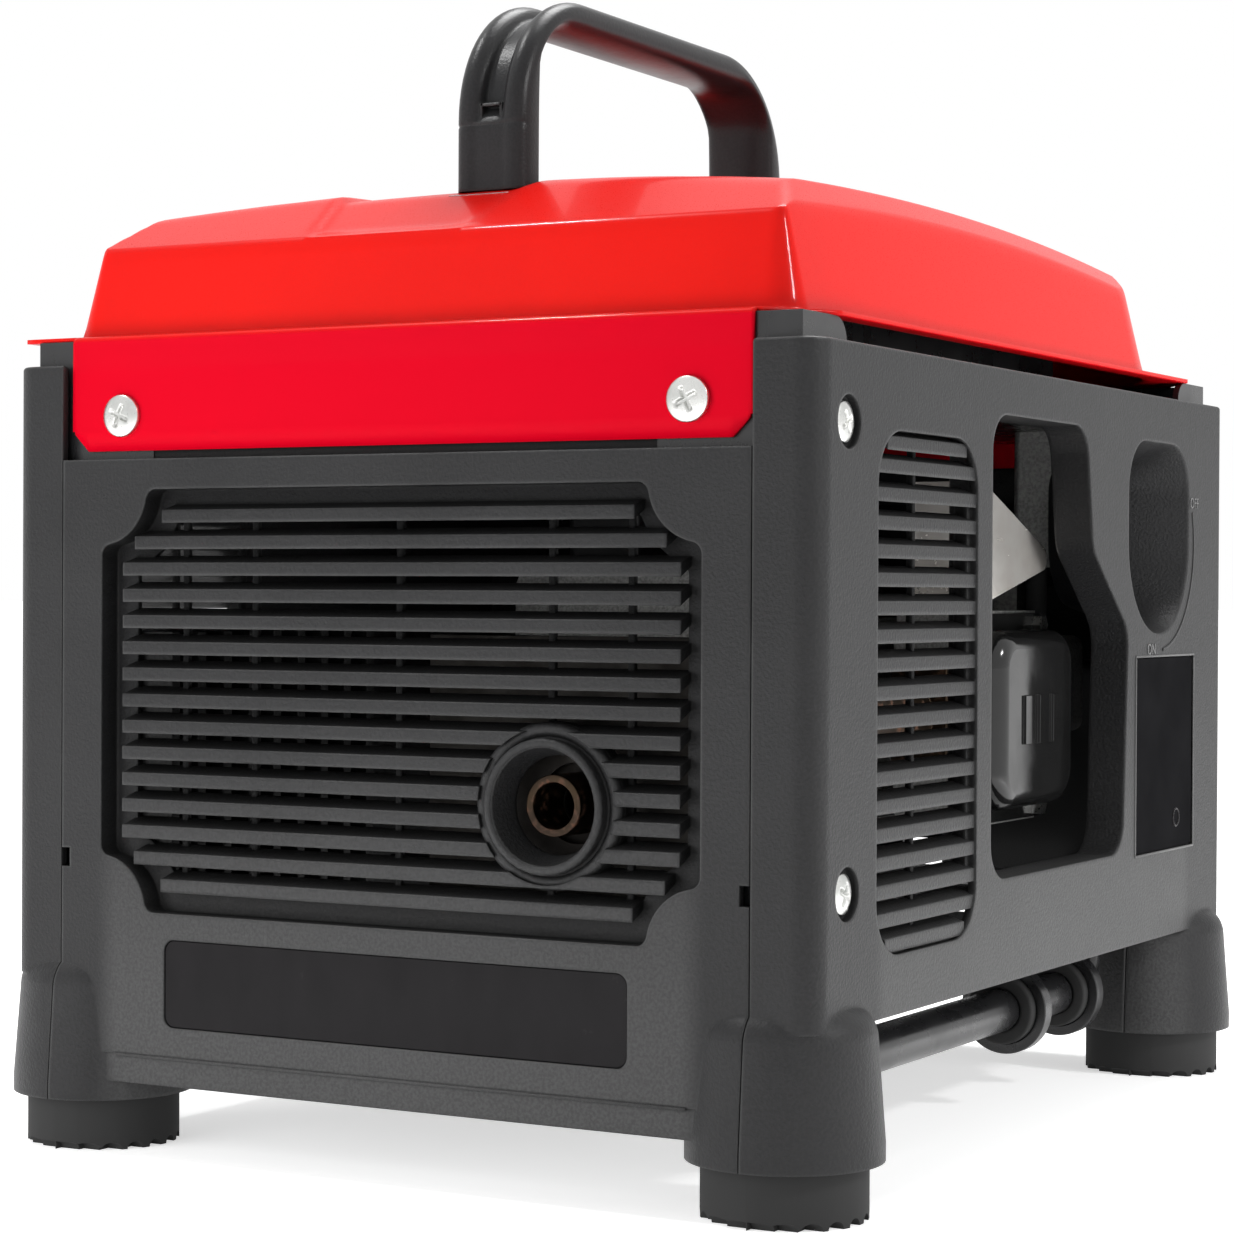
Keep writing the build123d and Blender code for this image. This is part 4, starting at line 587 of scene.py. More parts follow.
class Bench:
    """Turns meshes into pieces that ride on the frame."""

    SHARP = math.radians(38.0)
    RING_SPOKES = 32
    RING_TURNS = 10

    @classmethod
    def piece(cls, name: str, shape: Shape, finish: Finish, body: Optional[str], slot: str,
              stands_for: Sequence[str] = ()) -> bpy.types.Object:
        """Make a piece from a mesh, dress it and set it on its body.

        Args:
            name: Name of the piece.
            shape: Mesh in metres in the frame; it is used up.
            finish: Finish of the surface.
            body: Body that carries the piece, or None to leave it on no body.
            slot: Record slot that the finish belongs to; not used.
            stands_for: Solids that the piece replaces.

        Returns:
            The new object.
        """
        mesh = bpy.data.meshes.new(name)
        shape.to_mesh(mesh)
        shape.free()
        mesh.shade_smooth()
        mesh.set_sharp_from_angle(angle=cls.SHARP)
        made = bpy.data.objects.new(name, mesh)
        bpy.context.scene.collection.objects.link(made)
        made.data.materials.append(finish.material())
        if body is not None:
            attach(made, body)
        if stands_for:
            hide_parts(*stands_for)
        LOG.info("piece %s on %s: %d faces", name, body, len(mesh.polygons))
        return made

    @staticmethod
    def spokes(count: int) -> list[Span]:
        """Points spread evenly round a circle of radius 1.

        Args:
            count: Number of points.

        Returns:
            Cosine and sine of each turn.
        """
        turns = [math.tau * index / count for index in range(count)]
        return [(math.cos(turn), math.sin(turn)) for turn in turns]

    @staticmethod
    def skin(shape: Shape, rows: Sequence[list], capped: bool = False) -> None:
        """Join closed loops of vertices into a tube.

        Args:
            shape: Mesh that takes the faces.
            rows: Loops of one length, in order along the tube.
            capped: Whether the first and the last loop are closed.
        """
        for low, high in zip(rows, rows[1:]):
            for index in range(len(low)):
                shape.faces.new((low[index - 1], low[index], high[index], high[index - 1]))
        if capped:
            shape.faces.new(rows[0])
            shape.faces.new(rows[-1])
        bmesh.ops.recalc_face_normals(shape, faces=shape.faces)

    @staticmethod
    def block(shape: Shape, low: Point, high: Point, ease_by: float = 0.3) -> None:
        """Add a block with eased edges.

        Args:
            shape: Mesh that takes the block.
            low: Lowest corner in millimetres.
            high: Highest corner in millimetres.
            ease_by: Size of the eased edges.
        """
        middle = (Vector(low) + Vector(high)) * 0.5 * MM
        size = (Vector(high) - Vector(low)) * MM
        place = Matrix.Translation(middle) @ Matrix.Diagonal((*size, 1.0))
        made = bmesh.ops.create_cube(shape, size=1.0, matrix=place)["verts"]
        edges = {edge for vert in made for edge in vert.link_edges}
        bmesh.ops.bevel(shape, geom=list(edges), offset=ease_by * MM, offset_type="OFFSET", segments=2,
                        profile=0.5, affect="EDGES")

    @classmethod
    def ring(cls, shape: Shape, place: Vector, axis: Axis, radius: float, wire: float) -> None:
        """Add a round ring.

        Args:
            shape: Mesh that takes the ring.
            place: Middle of the ring.
            axis: Way the ring faces.
            radius: Radius of its centre line.
            wire: Radius of its section.
        """
        side, up = axis.across()
        rows = []
        for x, y in cls.spokes(cls.RING_SPOKES):
            out = side * x + up * y
            rows.append([shape.verts.new((place + out * (radius + wire * u) + axis.vector * wire * v) * MM)
                         for u, v in cls.spokes(cls.RING_TURNS)])
        cls.skin(shape, rows + rows[:1])

    @staticmethod
    def flat_shading(made: bpy.types.Object) -> None:
        """Weight the normals by face area, so that flats stay flat beside eased edges."""
        weights = made.modifiers.new("flats", "WEIGHTED_NORMAL")
        weights.keep_sharp = True


@dataclass
class EasedSolid:
    """A carried-over solid with its sharp edges eased."""

    node: str
    finish: Finish
    slot: str
    radius: float
    segments: int = 2
    body: str = "frame"
    sharp: float = 32.0
    weld: float = 0.002

    def build(self) -> bpy.types.Object:
        """Copy the solid's mesh, round its edges and stand it in for the solid."""
        shape = bmesh.new()
        shape.from_mesh(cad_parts[self.node].data)
        bmesh.ops.remove_doubles(shape, verts=shape.verts, dist=self.weld * MM)
        bmesh.ops.dissolve_degenerate(shape, edges=shape.edges, dist=self.weld * MM)
        corner = math.radians(self.sharp)
        edges = [edge for edge in shape.edges
                 if len(edge.link_faces) == 2 and edge.calc_face_angle(0.0) > corner]
        if edges and self.radius > 0:
            bmesh.ops.bevel(shape, geom=edges, offset=self.radius * MM, offset_type="OFFSET",
                            segments=self.segments, profile=0.5, affect="EDGES", clamp_overlap=True,
                            loop_slide=False)
        made = Bench.piece(f"{self.node}_dressed", shape, self.finish, self.body, self.slot, (self.node,))
        Bench.flat_shading(made)
        return made


@dataclass
class Lid:
    """Pressed lid: crowned dome with a handle channel, flange and two aprons.

    The dome's top is the lowest of its steep wall, the crown and the front slope. The two runs are the grid
    of the sheet: stops with the share of the step that lies between them.
    """

    dome: Span = (141.0, 184.0)
    corners: Span = (11.0, 55.0)
    lean: float = math.tan(math.radians(13.0))
    seat: float = 282.0
    below: float = 20.0
    plateau: float = 338.0
    crown_halves: Span = (138.0, 121.0)
    crown_drop: float = 7.0
    crown_fall: float = 0.825
    crown_middle: float = -20.0
    crown_bow: float = 4600.0
    slope_foot: Span = (-174.0, 315.0)
    slope_rise: float = 0.481
    crease: float = 3.0
    fillet: float = 2.5
    channel_wall: Span = (-45.0, -59.0)
    channel_flare: Span = (-176.0, -137.0)
    channel_edge: float = 2.5
    channel_right: Span = (8.0, 22.0)
    channel_end: Span = (87.0, 93.0)
    channel_depth: float = 2.3
    channel_start: Span = (313.0, 320.0)
    channel_floor: float = 332.3
    filler: Point = (-83.5, 60.0, 19.0)
    outer: float = 193.5
    skirt: float = 242.0
    apron_levels: tuple = (268.0, 256.0, 249.0)
    apron_half: float = 132.01
    apron_chamfer: float = 125.0
    bend: float = 2.5
    bend_turns: tuple = (22.5, 45.0, 67.5, 90.0)
    sheet: float = 1.5
    step: float = 3.0
    x_runs: tuple = (((-155.0, -143.0), 1.0), ((-143.0, -132.0, -84.0), 0.34),
                     ((-84.0, -65.0, -42.0, 8.0, 22.0, 84.0), 0.6), ((84.0, 132.0, 143.0), 0.34),
                     ((143.0, 149.5), 1.0))
    y_runs: tuple = (((-191.0, -172.0), 0.34), ((-172.0, -137.0), 1.0), ((-137.0, 82.0), 1.8),
                     ((82.0, 87.0, 93.0, 127.0), 1.0), ((127.0, 191.0), 0.34))
    ears: tuple = ((132.0, 193.5, 149.5, 167.5), (-155.0, -190.5, -149.5, 167.5),
                   (-132.0, -193.5, -155.0, -190.5), (149.5, -167.5, 132.0, -193.5),
                   (-149.5, 167.5, -132.0, 193.5))

    def inside(self, x: float, y: float) -> float:
        """Distance inside the dome's rounded plan, negative outside.

        Args:
            x: Place across.
            y: Place along.

        Returns:
            The distance in millimetres.
        """
        radius = self.corners[0] if y < 0 else self.corners[1]
        across = abs(x) - self.dome[0] + radius
        along = abs(y) - self.dome[1] + radius
        beyond = math.hypot(max(across, 0.0), max(along, 0.0)) + min(max(across, along), 0.0)
        return radius - beyond

    def crown(self, x: float, y: float) -> float:
        """Height of the crown, which falls off beyond its half widths.

        Args:
            x: Place across.
            y: Place along.

        Returns:
            The height in millimetres.
        """
        wide = abs(x)
        full = self.crown_halves[1] if x > 0 else self.crown_halves[0]
        if wide < full:
            drop = self.crown_drop * (wide / full) ** 2
        else:
            drop = self.crown_drop + self.crown_fall * (wide - full)
        return self.plateau - drop - (y - self.crown_middle) ** 2 / self.crown_bow

    def channel(self, x: float, y: float) -> float:
        """Share of the handle channel's depth that a place has.

        Args:
            x: Place across.
            y: Place along.

        Returns:
            0 outside the channel, 1 on its floor.
        """
        start, end = self.channel_flare
        flared = min(1.0, max(0.0, (y - start) / (end - start)))
        wall = self.channel_wall[0] + (self.channel_wall[1] - self.channel_wall[0]) * flared
        left = ease(x, wall - self.channel_edge, wall + self.channel_edge)
        return left * (1.0 - ease(x, *self.channel_right)) * (1.0 - ease(y, *self.channel_end))

    def height(self, x: float, y: float) -> float:
        """Height of the lid's top face.

        Args:
            x: Place across.
            y: Place along.

        Returns:
            The height in millimetres.
        """
        steep = self.seat + self.inside(x, y) / self.lean
        if steep < self.seat - self.below:
            return self.seat
        slope = self.slope_foot[1] + self.slope_rise * (y - self.slope_foot[0])
        level = soft_min(steep, soft_min(self.crown(x, y), slope, self.crease), self.crease)
        sunk = max(self.channel_depth * ease(level, *self.channel_start), level - self.channel_floor)
        level -= self.channel(x, y) * sunk
        return -soft_min(-level, -self.seat, self.fillet)

    def stations(self, runs: tuple) -> list[float]:
        """Grid lines of the sheet along one axis.

        Args:
            runs: Stops with their share of the step, in order.

        Returns:
            The places in millimetres.
        """
        values: list[float] = []
        for stops, share in runs:
            values = values[:-1] + spread(stops, self.step * share)
        return values

    def build(self) -> bpy.types.Object:
        """Press the sheet, trim its corners, pierce it and give it thickness."""
        shape = bmesh.new()
        xs = self.stations(self.x_runs)
        rows = [[shape.verts.new(Vector((x, y, self.height(x, y))) * MM) for x in xs]
                for y in self.stations(self.y_runs)]
        for low, high in zip(rows, rows[1:]):
            for spots in zip(low, low[1:], high[1:], high):
                shape.faces.new(spots)
        self.apron(shape, rows[0], -1.0)
        self.apron(shape, rows[-1], 1.0)
        self.trim(shape)
        self.pierce(shape)
        bmesh.ops.recalc_face_normals(shape, faces=shape.faces)
        made = Bench.piece("top_cover_pressed", shape, LID_RED, "frame", "red_paint", ("top_cover",))
        wall = made.modifiers.new("sheet", "SOLIDIFY")
        wall.thickness = self.sheet * MM
        wall.offset = -1.0
        return made

    def trim(self, shape: Shape) -> None:
        """Cut the corners of the flange off along the ears' lines.

        Args:
            shape: Mesh of the lid.
        """
        for x0, y0, x1, y1 in self.ears:
            outward = Vector((y1 - y0, x0 - x1, 0.0))
            spot = Vector((x0, y0, 0.0))
            outward = outward if outward.dot(spot) > 0 else -outward
            everything = shape.verts[:] + shape.edges[:] + shape.faces[:]
            bmesh.ops.bisect_plane(shape, geom=everything, plane_co=spot * MM, plane_no=outward,
                                   clear_outer=True)

    def pierce(self, shape: Shape) -> None:
        """Cut the filler hole and draw its ragged edge onto a circle.

        Args:
            shape: Mesh of the lid.
        """
        x, y, radius = self.filler
        hole = Vector((x, y, 0.0)) * MM
        inner = [face for face in shape.faces if (face.calc_center_median() - hole).xy.length < radius * MM]
        bmesh.ops.delete(shape, geom=inner, context="FACES")
        for vert in shape.verts:
            reach = (vert.co - hole).xy
            if vert.is_boundary and reach.length < (radius + 2.0 * self.step) * MM:
                vert.co.x, vert.co.y = hole.xy + reach.normalized() * radius * MM

    def apron(self, shape: Shape, edge: list, side: float) -> None:
        """Bend the sheet down at one end.

        Args:
            shape: Mesh of the lid.
            edge: Row of vertices at that end.
            side: -1 for the exhaust end, 1 for the control end.
        """
        turns = [math.radians(angle) for angle in self.bend_turns]
        middle = self.outer - self.bend
        stations = [(middle + self.bend * math.sin(turn), self.seat - self.bend * (1.0 - math.cos(turn)))
                    for turn in turns]
        stations += [(self.outer, level) for level in (*self.apron_levels, self.skirt)]
        row = [vert for vert in edge if abs(vert.co.x) < self.apron_half * MM]
        for reach, level in stations:
            new = []
            for vert in row:
                x = vert.co.x / MM
                low = max(level, self.skirt + max(0.0, abs(x) - self.apron_chamfer))
                new.append(shape.verts.new(Vector((x, side * reach, low)) * MM))
            for spots in zip(row, row[1:], new[1:], new):
                if len({tuple(spot.co) for spot in spots}) == 4:
                    shape.faces.new(spots)
            row = new


@dataclass
class Handle:
    """Bow handle with two round ribs and a groove on the outer face."""

    legs: Span = (-126.25, 62.25)
    seat: float = 332.3
    spring: float = 357.0
    bow: float = 38.25
    half_width: float = 14.0
    half_depth: float = 7.75
    rib: float = 5.0
    block: float = 355.0
    parting: float = 0.8
    nick: float = 0.5
    groove: float = 0.7
    groove_run: Span = (0.6, 6.0)
    groove_blend: float = 1.2
    inner: float = 15.0
    slim: float = 3.8
    step: float = 2.0
    turn_step: int = 5
    across_steps: int = 40
    belly_turns: range = range(0, 181, 10)
    slot_bars: tuple = ((0.0, 356.4, 8.0, 1.0), (0.0, 362.0, 8.0, 1.0), (-4.0, 359.2, 1.0, 6.6),
                        (4.0, 359.2, 1.0, 6.6))
    slot_inset: float = 3.6
    slot_deep: float = 3.2

    def stations(self) -> list[tuple[Vector, Vector]]:
        """Points of the centre line with their outward directions."""
        front, rear = self.legs
        near = (self.block - self.parting, self.block, self.block + self.parting)
        levels = spread((self.seat, *near, self.spring), self.step)
        points = [(Vector((0.0, front, level)), Axis.FRONT.vector) for level in levels]
        bends = ((front + self.bow, range(180 - self.turn_step, 85, -self.turn_step)),
                 (rear - self.bow, range(90, -1, -self.turn_step)))
        for centre, turns in bends:
            for turn in turns:
                out = Vector((0.0, math.cos(math.radians(turn)), math.sin(math.radians(turn))))
                points.append((Vector((0.0, centre, self.spring)) + out * self.bow, out))
        points += [(Vector((0.0, rear, level)), Axis.BACK.vector) for level in reversed(levels[:-1])]
        return points

    def thinned(self, out: Vector) -> float:
        """Depth that the slim grip and its tight inner bends take off the concentric inner face.

        Args:
            out: Outward direction of the station.

        Returns:
            The depth in millimetres.
        """
        side = self.bow - self.half_depth
        top = side + self.slim
        along, up = abs(out.y), abs(out.z)
        if side * up <= (top - self.inner) * along:
            return side / along - side
        if top * along <= (side - self.inner) * up:
            return top / up - side
        centre = Vector((side - self.inner, top - self.inner))
        reach = centre.dot(Vector((along, up)))
        return reach + math.sqrt(self.inner ** 2 - centre.length_squared + reach ** 2) - side

    def section(self, level: float, thin: float) -> list[Span]:
        """Outline across the handle at a level.

        Args:
            level: Height above the floor.
            thin: Depth taken off the inner face.

        Returns:
            Places across and outward, in order round the outline.
        """
        start, end = (self.block + run for run in self.groove_run)
        shoulder = self.half_depth - self.rib
        fill = self.half_depth - self.rib * ease(level, start, end) - self.groove
        nick = self.nick if abs(level - self.block) < 0.1 else 0.0
        outline = []
        for index in range(self.across_steps + 1):
            across = -self.half_width + 2.0 * self.half_width * index / self.across_steps
            offset = abs(across) - (self.half_width - self.rib)
            crest = shoulder + math.sqrt(max(0.0, self.rib ** 2 - offset ** 2))
            crest = crest if abs(offset) <= self.rib else shoulder
            floor = fill if abs(across) < self.half_width - self.rib else -self.half_depth
            outline.append((across, -soft_min(-crest, -floor, self.groove_blend) - nick))
        belly = min(self.rib, 2.0 * self.half_depth - self.rib - thin)
        for turn in self.belly_turns:
            angle = math.radians(turn)
            outline.append((self.half_width * math.cos(angle),
                            thin - self.half_depth + belly * (1.0 - math.sin(angle))))
        return outline

    def build(self) -> bpy.types.Object:
        """Sweep the outline along the bow and close both feet."""
        shape = bmesh.new()
        rings = [[shape.verts.new((spot + out * rise + Vector((across, 0.0, 0.0))) * MM)
                  for across, rise in self.section(spot.z, self.thinned(out))]
                 for spot, out in self.stations()]
        Bench.skin(shape, rings, True)
        self.slots(shape)
        return Bench.piece("carry_handle_bow", shape, HANDLE, "frame", "handle_plastic", ("carry_handle",))

    def slots(self, shape: Shape) -> None:
        """Add the moulded frame of the small slot above each parting line.

        Args:
            shape: Mesh of the handle.
        """
        for leg, way in zip(self.legs, (-1.0, 1.0)):
            for across, level, wide, tall in self.slot_bars:
                place = Vector((across, leg + way * (self.half_depth - self.slot_inset), level)) * MM
                size = Matrix.Diagonal((wide * MM, self.slot_deep * MM, tall * MM, 1.0))
                bmesh.ops.create_cube(shape, size=1.0, matrix=Matrix.Translation(place) @ size)


@dataclass
class Screws:
    """Cross-slotted pan-head screws of the lid and the panels.

    Each set has the way its heads face, their radius and height, and the middles of their seats.
    """

    sets: tuple = (
        (Axis.FRONT, 7.25, 3.2, ((-110.0, -193.5, 254.0), (110.0, -193.5, 254.0))),
        (Axis.BACK, 7.25, 3.2, ((-110.0, 193.5, 254.0), (110.0, 193.5, 254.0))),
        (Axis.RIGHT, 6.5, 2.6, ((153.0, -175.0, 101.5), (153.0, -175.0, 247.0))),
        (Axis.LEFT, 6.5, 2.6, ((-153.0, -175.0, 101.5), (-153.0, -175.0, 247.0))),
        (Axis.BACK, 6.5, 2.6, ((-141.0, 197.0, 101.5), (-141.0, 197.0, 247.0), (141.0, 197.0, 101.5),
                               (141.0, 197.0, 247.0))),
    )
    rings: int = 20
    spokes: int = 64
    first_turn: float = 0.35
    next_turn: float = 0.9
    crown: float = 0.45
    crown_power: float = 3.2
    slot_depth: float = 1.7
    slot_sides: Span = (0.55, 0.95)
    slot_ends: Span = (0.46, 0.6)
    slot_rise: float = 0.4
    spare: float = 1.0
    skin: float = 0.05

    def build(self) -> None:
        """Turn every head and carry over the shanks behind them."""
        shape = bmesh.new()
        for axis, radius, tall, places in self.sets:
            for index, place in enumerate(places):
                self.head(shape, axis, radius, tall, Vector(place), self.first_turn + self.next_turn * index)
        self.shanks(shape)
        bmesh.ops.recalc_face_normals(shape, faces=shape.faces)
        Bench.piece("panel_screws_cross_slotted", shape, ZINC, "frame", "zinc_steel", ("panel_screws",))

    def shanks(self, shape: Shape) -> None:
        """Carry over the solid's geometry that lies behind the turned heads.

        Args:
            shape: Mesh that collects the screws.
        """
        carried = bmesh.new()
        carried.from_mesh(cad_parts["panel_screws"].data)
        dropped = [vert for vert in carried.verts if self.covered(vert.co / MM)]
        bmesh.ops.delete(carried, geom=dropped, context="VERTS")
        scrap = bpy.data.meshes.new("shanks")
        carried.to_mesh(scrap)
        carried.free()
        shape.from_mesh(scrap)

    def covered(self, spot: Vector) -> bool:
        """Whether a point belongs to a head that is turned anew."""
        for axis, radius, _, places in self.sets:
            for place in places:
                rise = (spot - Vector(place)).dot(axis.vector)
                across = (spot - Vector(place) - axis.vector * rise).length
                if across < radius + self.spare and rise > self.skin:
                    return True
        return False

    def head(self, shape: Shape, axis: Axis, radius: float, tall: float, place: Vector,
             turned: float) -> None:
        """Turn one head with its cross slot.

        Args:
            shape: Mesh that collects the screws.
            axis: Way the head faces.
            radius: Radius of the head.
            tall: Height of the head.
            place: Middle of its seat.
            turned: Turn of the slot in radians.
        """
        side, up = axis.across()
        rows = []
        for ring in range(self.rings + 2):
            reach = radius * min(ring, self.rings) / self.rings
            row = []
            for cosine, sine in Bench.spokes(self.spokes):
                x, y = reach * cosine, reach * sine
                rise = 0.0
                if ring <= self.rings:
                    crown = 1.0 - self.crown * (reach / radius) ** self.crown_power
                    rise = tall * crown - self.slot(x, y, turned, radius)
                row.append(shape.verts.new((place + side * x + up * y + axis.vector * rise) * MM))
            rows.append(row)
        Bench.skin(shape, rows)

    def slot(self, x: float, y: float, turned: float, radius: float) -> float:
        """Depth of the cross slot at a point of the head.

        Args:
            x: Place across.
            y: Place up.
            turned: Turn of the slot in radians.
            radius: Radius of the head.

        Returns:
            The depth in millimetres.
        """
        u = x * math.cos(turned) + y * math.sin(turned)
        v = y * math.cos(turned) - x * math.sin(turned)
        start, stop = (radius * share for share in self.slot_ends)
        depth = 0.0
        for along, across in ((u, v), (v, u)):
            wall = 1.0 - ease(abs(across), *self.slot_sides)
            end = 1.0 - ease(abs(along), start, stop)
            depth = max(depth, self.slot_depth * wall * end * (1.0 - self.slot_rise * abs(along) / radius))
        return depth


@dataclass
class PanelLips:
    """Folds of the panels: lips behind the aprons, louvre sills, tray ledges and the collar's rings."""

    half: float = 127.5
    lip: Span = (189.4, 191.6)
    level: Span = (233.0, 248.0)
    wall: float = 194.4
    shelf: float = 4.0
    face: float = 155.2
    back: float = 148.0
    sill: tuple[float, float, float] = (2.2, 4.7, 2.1)
    slats: tuple = ((82.2, -144.5, -79.5), (242.0, -144.5, -79.5))
    ledge: tuple = ((135.5, -136.0, 256.2), (153.0, 136.0, 258.4))
    fold: tuple = ((-110.0, -197.5, 34.2), (112.0, -196.6, 35.2))
    collar_middle: Span = (60.0, 126.0)
    collar: tuple = ((-196.3, 20.4, 1.5), (-191.6, 24.5, 2.5))

    def build(self) -> None:
        """Set the rings and the fold, then the lips at both ends and the sills and ledges at both sides."""
        shape = bmesh.new()
        for y, radius, wire in self.collar:
            middle = Vector((self.collar_middle[0], y, self.collar_middle[1]))
            Bench.ring(shape, middle, Axis.FRONT, radius, wire)
        Bench.block(shape, *self.fold)
        Bench.piece("exhaust_collar_rings", shape, PANEL, "frame", PANEL_SLOT)
        for side, node in ((-1.0, "exhaust_end"), (1.0, "control_end")):
            self.end_lip(f"{node}_lip", side)
        for side, word in ((-1.0, "left"), (1.0, "right")):
            self.sills(f"{word}_louvre_sills", side)
            shape = bmesh.new()
            low, high = self.ledge
            near, far = sorted((side * low[0], side * high[0]))
            Bench.block(shape, (near, *low[1:]), (far, *high[1:]))
            Bench.piece(f"{word}_tray_ledge", shape, PANEL, "frame", PANEL_SLOT)

    def end_lip(self, name: str, side: float) -> None:
        """Bend the lip behind one apron.

        Args:
            name: Name of the piece.
            side: -1 for the exhaust end, 1 for the control end.
        """
        shape = bmesh.new()
        bottom, top = self.level
        for reach, high in ((self.lip, top), ((self.lip[1], self.wall), bottom + self.shelf)):
            near, far = sorted(side * place for place in reach)
            Bench.block(shape, (-self.half, near, bottom), (self.half, far, high))
        Bench.piece(name, shape, PANEL, "frame", PANEL_SLOT)

    def sills(self, name: str, side: float) -> None:
        """Set the slanted sills above and below one side's louvres.

        Args:
            name: Name of the piece.
            side: -1 for the left side, 1 for the right.
        """
        shape = bmesh.new()
        half, top, bottom = self.sill
        for level, low, high in self.slats:
            outline = ((self.face, level - half), (self.face, level + half), (self.back, level + top),
                       (self.back, level + bottom))
            ends = [[shape.verts.new(Vector((side * x, y, z)) * MM) for x, z in outline] for y in (low, high)]
            Bench.skin(shape, ends, True)
        Bench.piece(name, shape, PANEL, "frame", PANEL_SLOT)


@dataclass
class Marks:
    """Raised ON and OFF marks, the lever's arc, and the rim and eyelet of the rating plate."""

    tall: float = 6.0
    rise: float = 0.25
    sunk: float = -0.2
    words: tuple = (
        ("OFF", (156.0, 157.0, 231.0), Axis.RIGHT, 1.0),
        ("ON", (156.0, 106.0, 173.0), Axis.RIGHT, 1.0),
        ("ON", (-98.0, 185.0, 175.0), Axis.BACK, 0.7),
        ("OFF", (-98.0, 185.0, 145.0), Axis.BACK, 0.7),
    )
    pivot: Point = (156.0, 115.0, 214.5)
    sweep: Span = (18.0, -84.0)
    sweep_steps: int = 40
    arc: Span = (41.2, 42.4)
    plate: tuple[float, float, float, float] = (89.0, 94.0, 157.0, 170.0)
    rim: float = 0.9
    rim_depth: Span = (155.2, 156.35)
    rim_ease: float = 0.25
    eyelet: Point = (155.5, 137.5, 106.0)
    eyelet_size: Span = (3.4, 0.55)

    def build(self) -> None:
        """Raise the words, the arc, the rim and the eyelet."""
        for index, (word, place, axis, share) in enumerate(self.words):
            self.word(f"mark_{word.lower()}_{index}", word, Vector(place), axis, share)
        shape = bmesh.new()
        self.band(shape)
        Bench.piece("lever_arc", shape, PANEL, "frame", PANEL_SLOT)
        shape = bmesh.new()
        self.frame_plate(shape)
        # The rim takes the lighter grey of the painted highlight.
        Bench.piece("rating_plate_rim", shape, RIM_HIGHLIGHT, "frame", PANEL_SLOT)
        shape = bmesh.new()
        Bench.ring(shape, Vector(self.eyelet), Axis.RIGHT, *self.eyelet_size)
        Bench.piece("rating_plate_eyelet", shape, FILM, "frame", "plate_film")

    def word(self, name: str, word: str, place: Vector, axis: Axis, share: float) -> None:
        """Raise one word.

        Args:
            name: Name of the piece.
            word: Letters of the word.
            place: Middle of the word on its face.
            axis: Way the face looks.
            share: Size against the usual height.
        """
        letters = bpy.data.curves.new(name, "FONT")
        letters.body = word
        letters.size = self.tall * share * MM
        letters.extrude = self.rise * MM
        letters.align_x = "CENTER"
        letters.align_y = "CENTER"
        holder = bpy.data.objects.new(f"{name}_letters", letters)
        bpy.context.scene.collection.objects.link(holder)
        graph = bpy.context.evaluated_depsgraph_get()
        outline = bpy.data.meshes.new_from_object(holder.evaluated_get(graph))
        bpy.data.objects.remove(holder)
        across = Axis.UP.vector.cross(axis.vector)
        turn = Matrix((across, Axis.UP.vector, axis.vector)).transposed().to_4x4()
        outline.transform(Matrix.Translation(place * MM) @ turn)
        shape = bmesh.new()
        shape.from_mesh(outline)
        Bench.piece(name, shape, MARK_GREY, "frame", PANEL_SLOT)

    def band(self, shape: Shape) -> None:
        """Lay the raised arc along the lever's travel.

        Args:
            shape: Mesh that takes the arc.
        """
        start, end = self.sweep
        near, far = self.arc
        corners = ((near, self.sunk), (near, self.rise), (far, self.rise), (far, self.sunk))
        rows = []
        for step in range(self.sweep_steps + 1):
            angle = math.radians(start + (end - start) * step / self.sweep_steps)
            out = Vector((0.0, math.cos(angle), math.sin(angle)))
            rows.append([shape.verts.new((Vector(self.pivot) + out * reach + Vector((lift, 0.0, 0.0))) * MM)
                         for reach, lift in corners])
        Bench.skin(shape, rows, True)

    def frame_plate(self, shape: Shape) -> None:
        """Lay the four bars round the rating plate.

        Args:
            shape: Mesh that takes the bars.
        """
        low_y, low_z, high_y, high_z = self.plate
        left, right = low_y - self.rim, high_y + self.rim
        bars = ((left, low_z - self.rim, right, low_z), (left, high_z, right, high_z + self.rim),
                (left, low_z, low_y, high_z), (high_y, low_z, right, high_z))
        back, front = self.rim_depth
        for y0, z0, y1, z1 in bars:
            Bench.block(shape, (back, y0, z0), (front, y1, z1), self.rim_ease)


@dataclass
class Lamps:
    """Coloured lenses of the three indicator lamps."""

    x: float = -78.0
    face: float = 185.9
    radius: float = 2.9
    dome: float = 1.4
    rings: int = 6
    spokes: int = 24
    lenses: tuple = (
        ("red_lens", 150.0, (0.62, 0.02, 0.015)),
        ("amber_lens", 162.0, (0.75, 0.3, 0.01)),
        ("green_lens", 174.0, (0.05, 0.5, 0.08)),
    )

    def build(self) -> None:
        """Set a domed lens in each bezel."""
        for name, level, colour in self.lenses:
            shape = bmesh.new()
            middle = Vector((self.x, self.face, level))
            rows = []
            for ring in range(self.rings):
                turn = math.radians(90.0 * ring / self.rings)
                reach, rise = self.radius * math.cos(turn), self.dome * math.sin(turn)
                rows.append([shape.verts.new((middle + Vector((reach * x, rise, reach * z))) * MM)
                             for x, z in Bench.spokes(self.spokes)])
            tip = shape.verts.new((middle + Vector((0.0, self.dome, 0.0))) * MM)
            for index in range(self.spokes):
                shape.faces.new((rows[-1][index - 1], rows[-1][index], tip))
            Bench.skin(shape, rows)
            Bench.piece(name, shape, Lens(name.replace("_", " "), colour), "frame", "lamp_plastic")


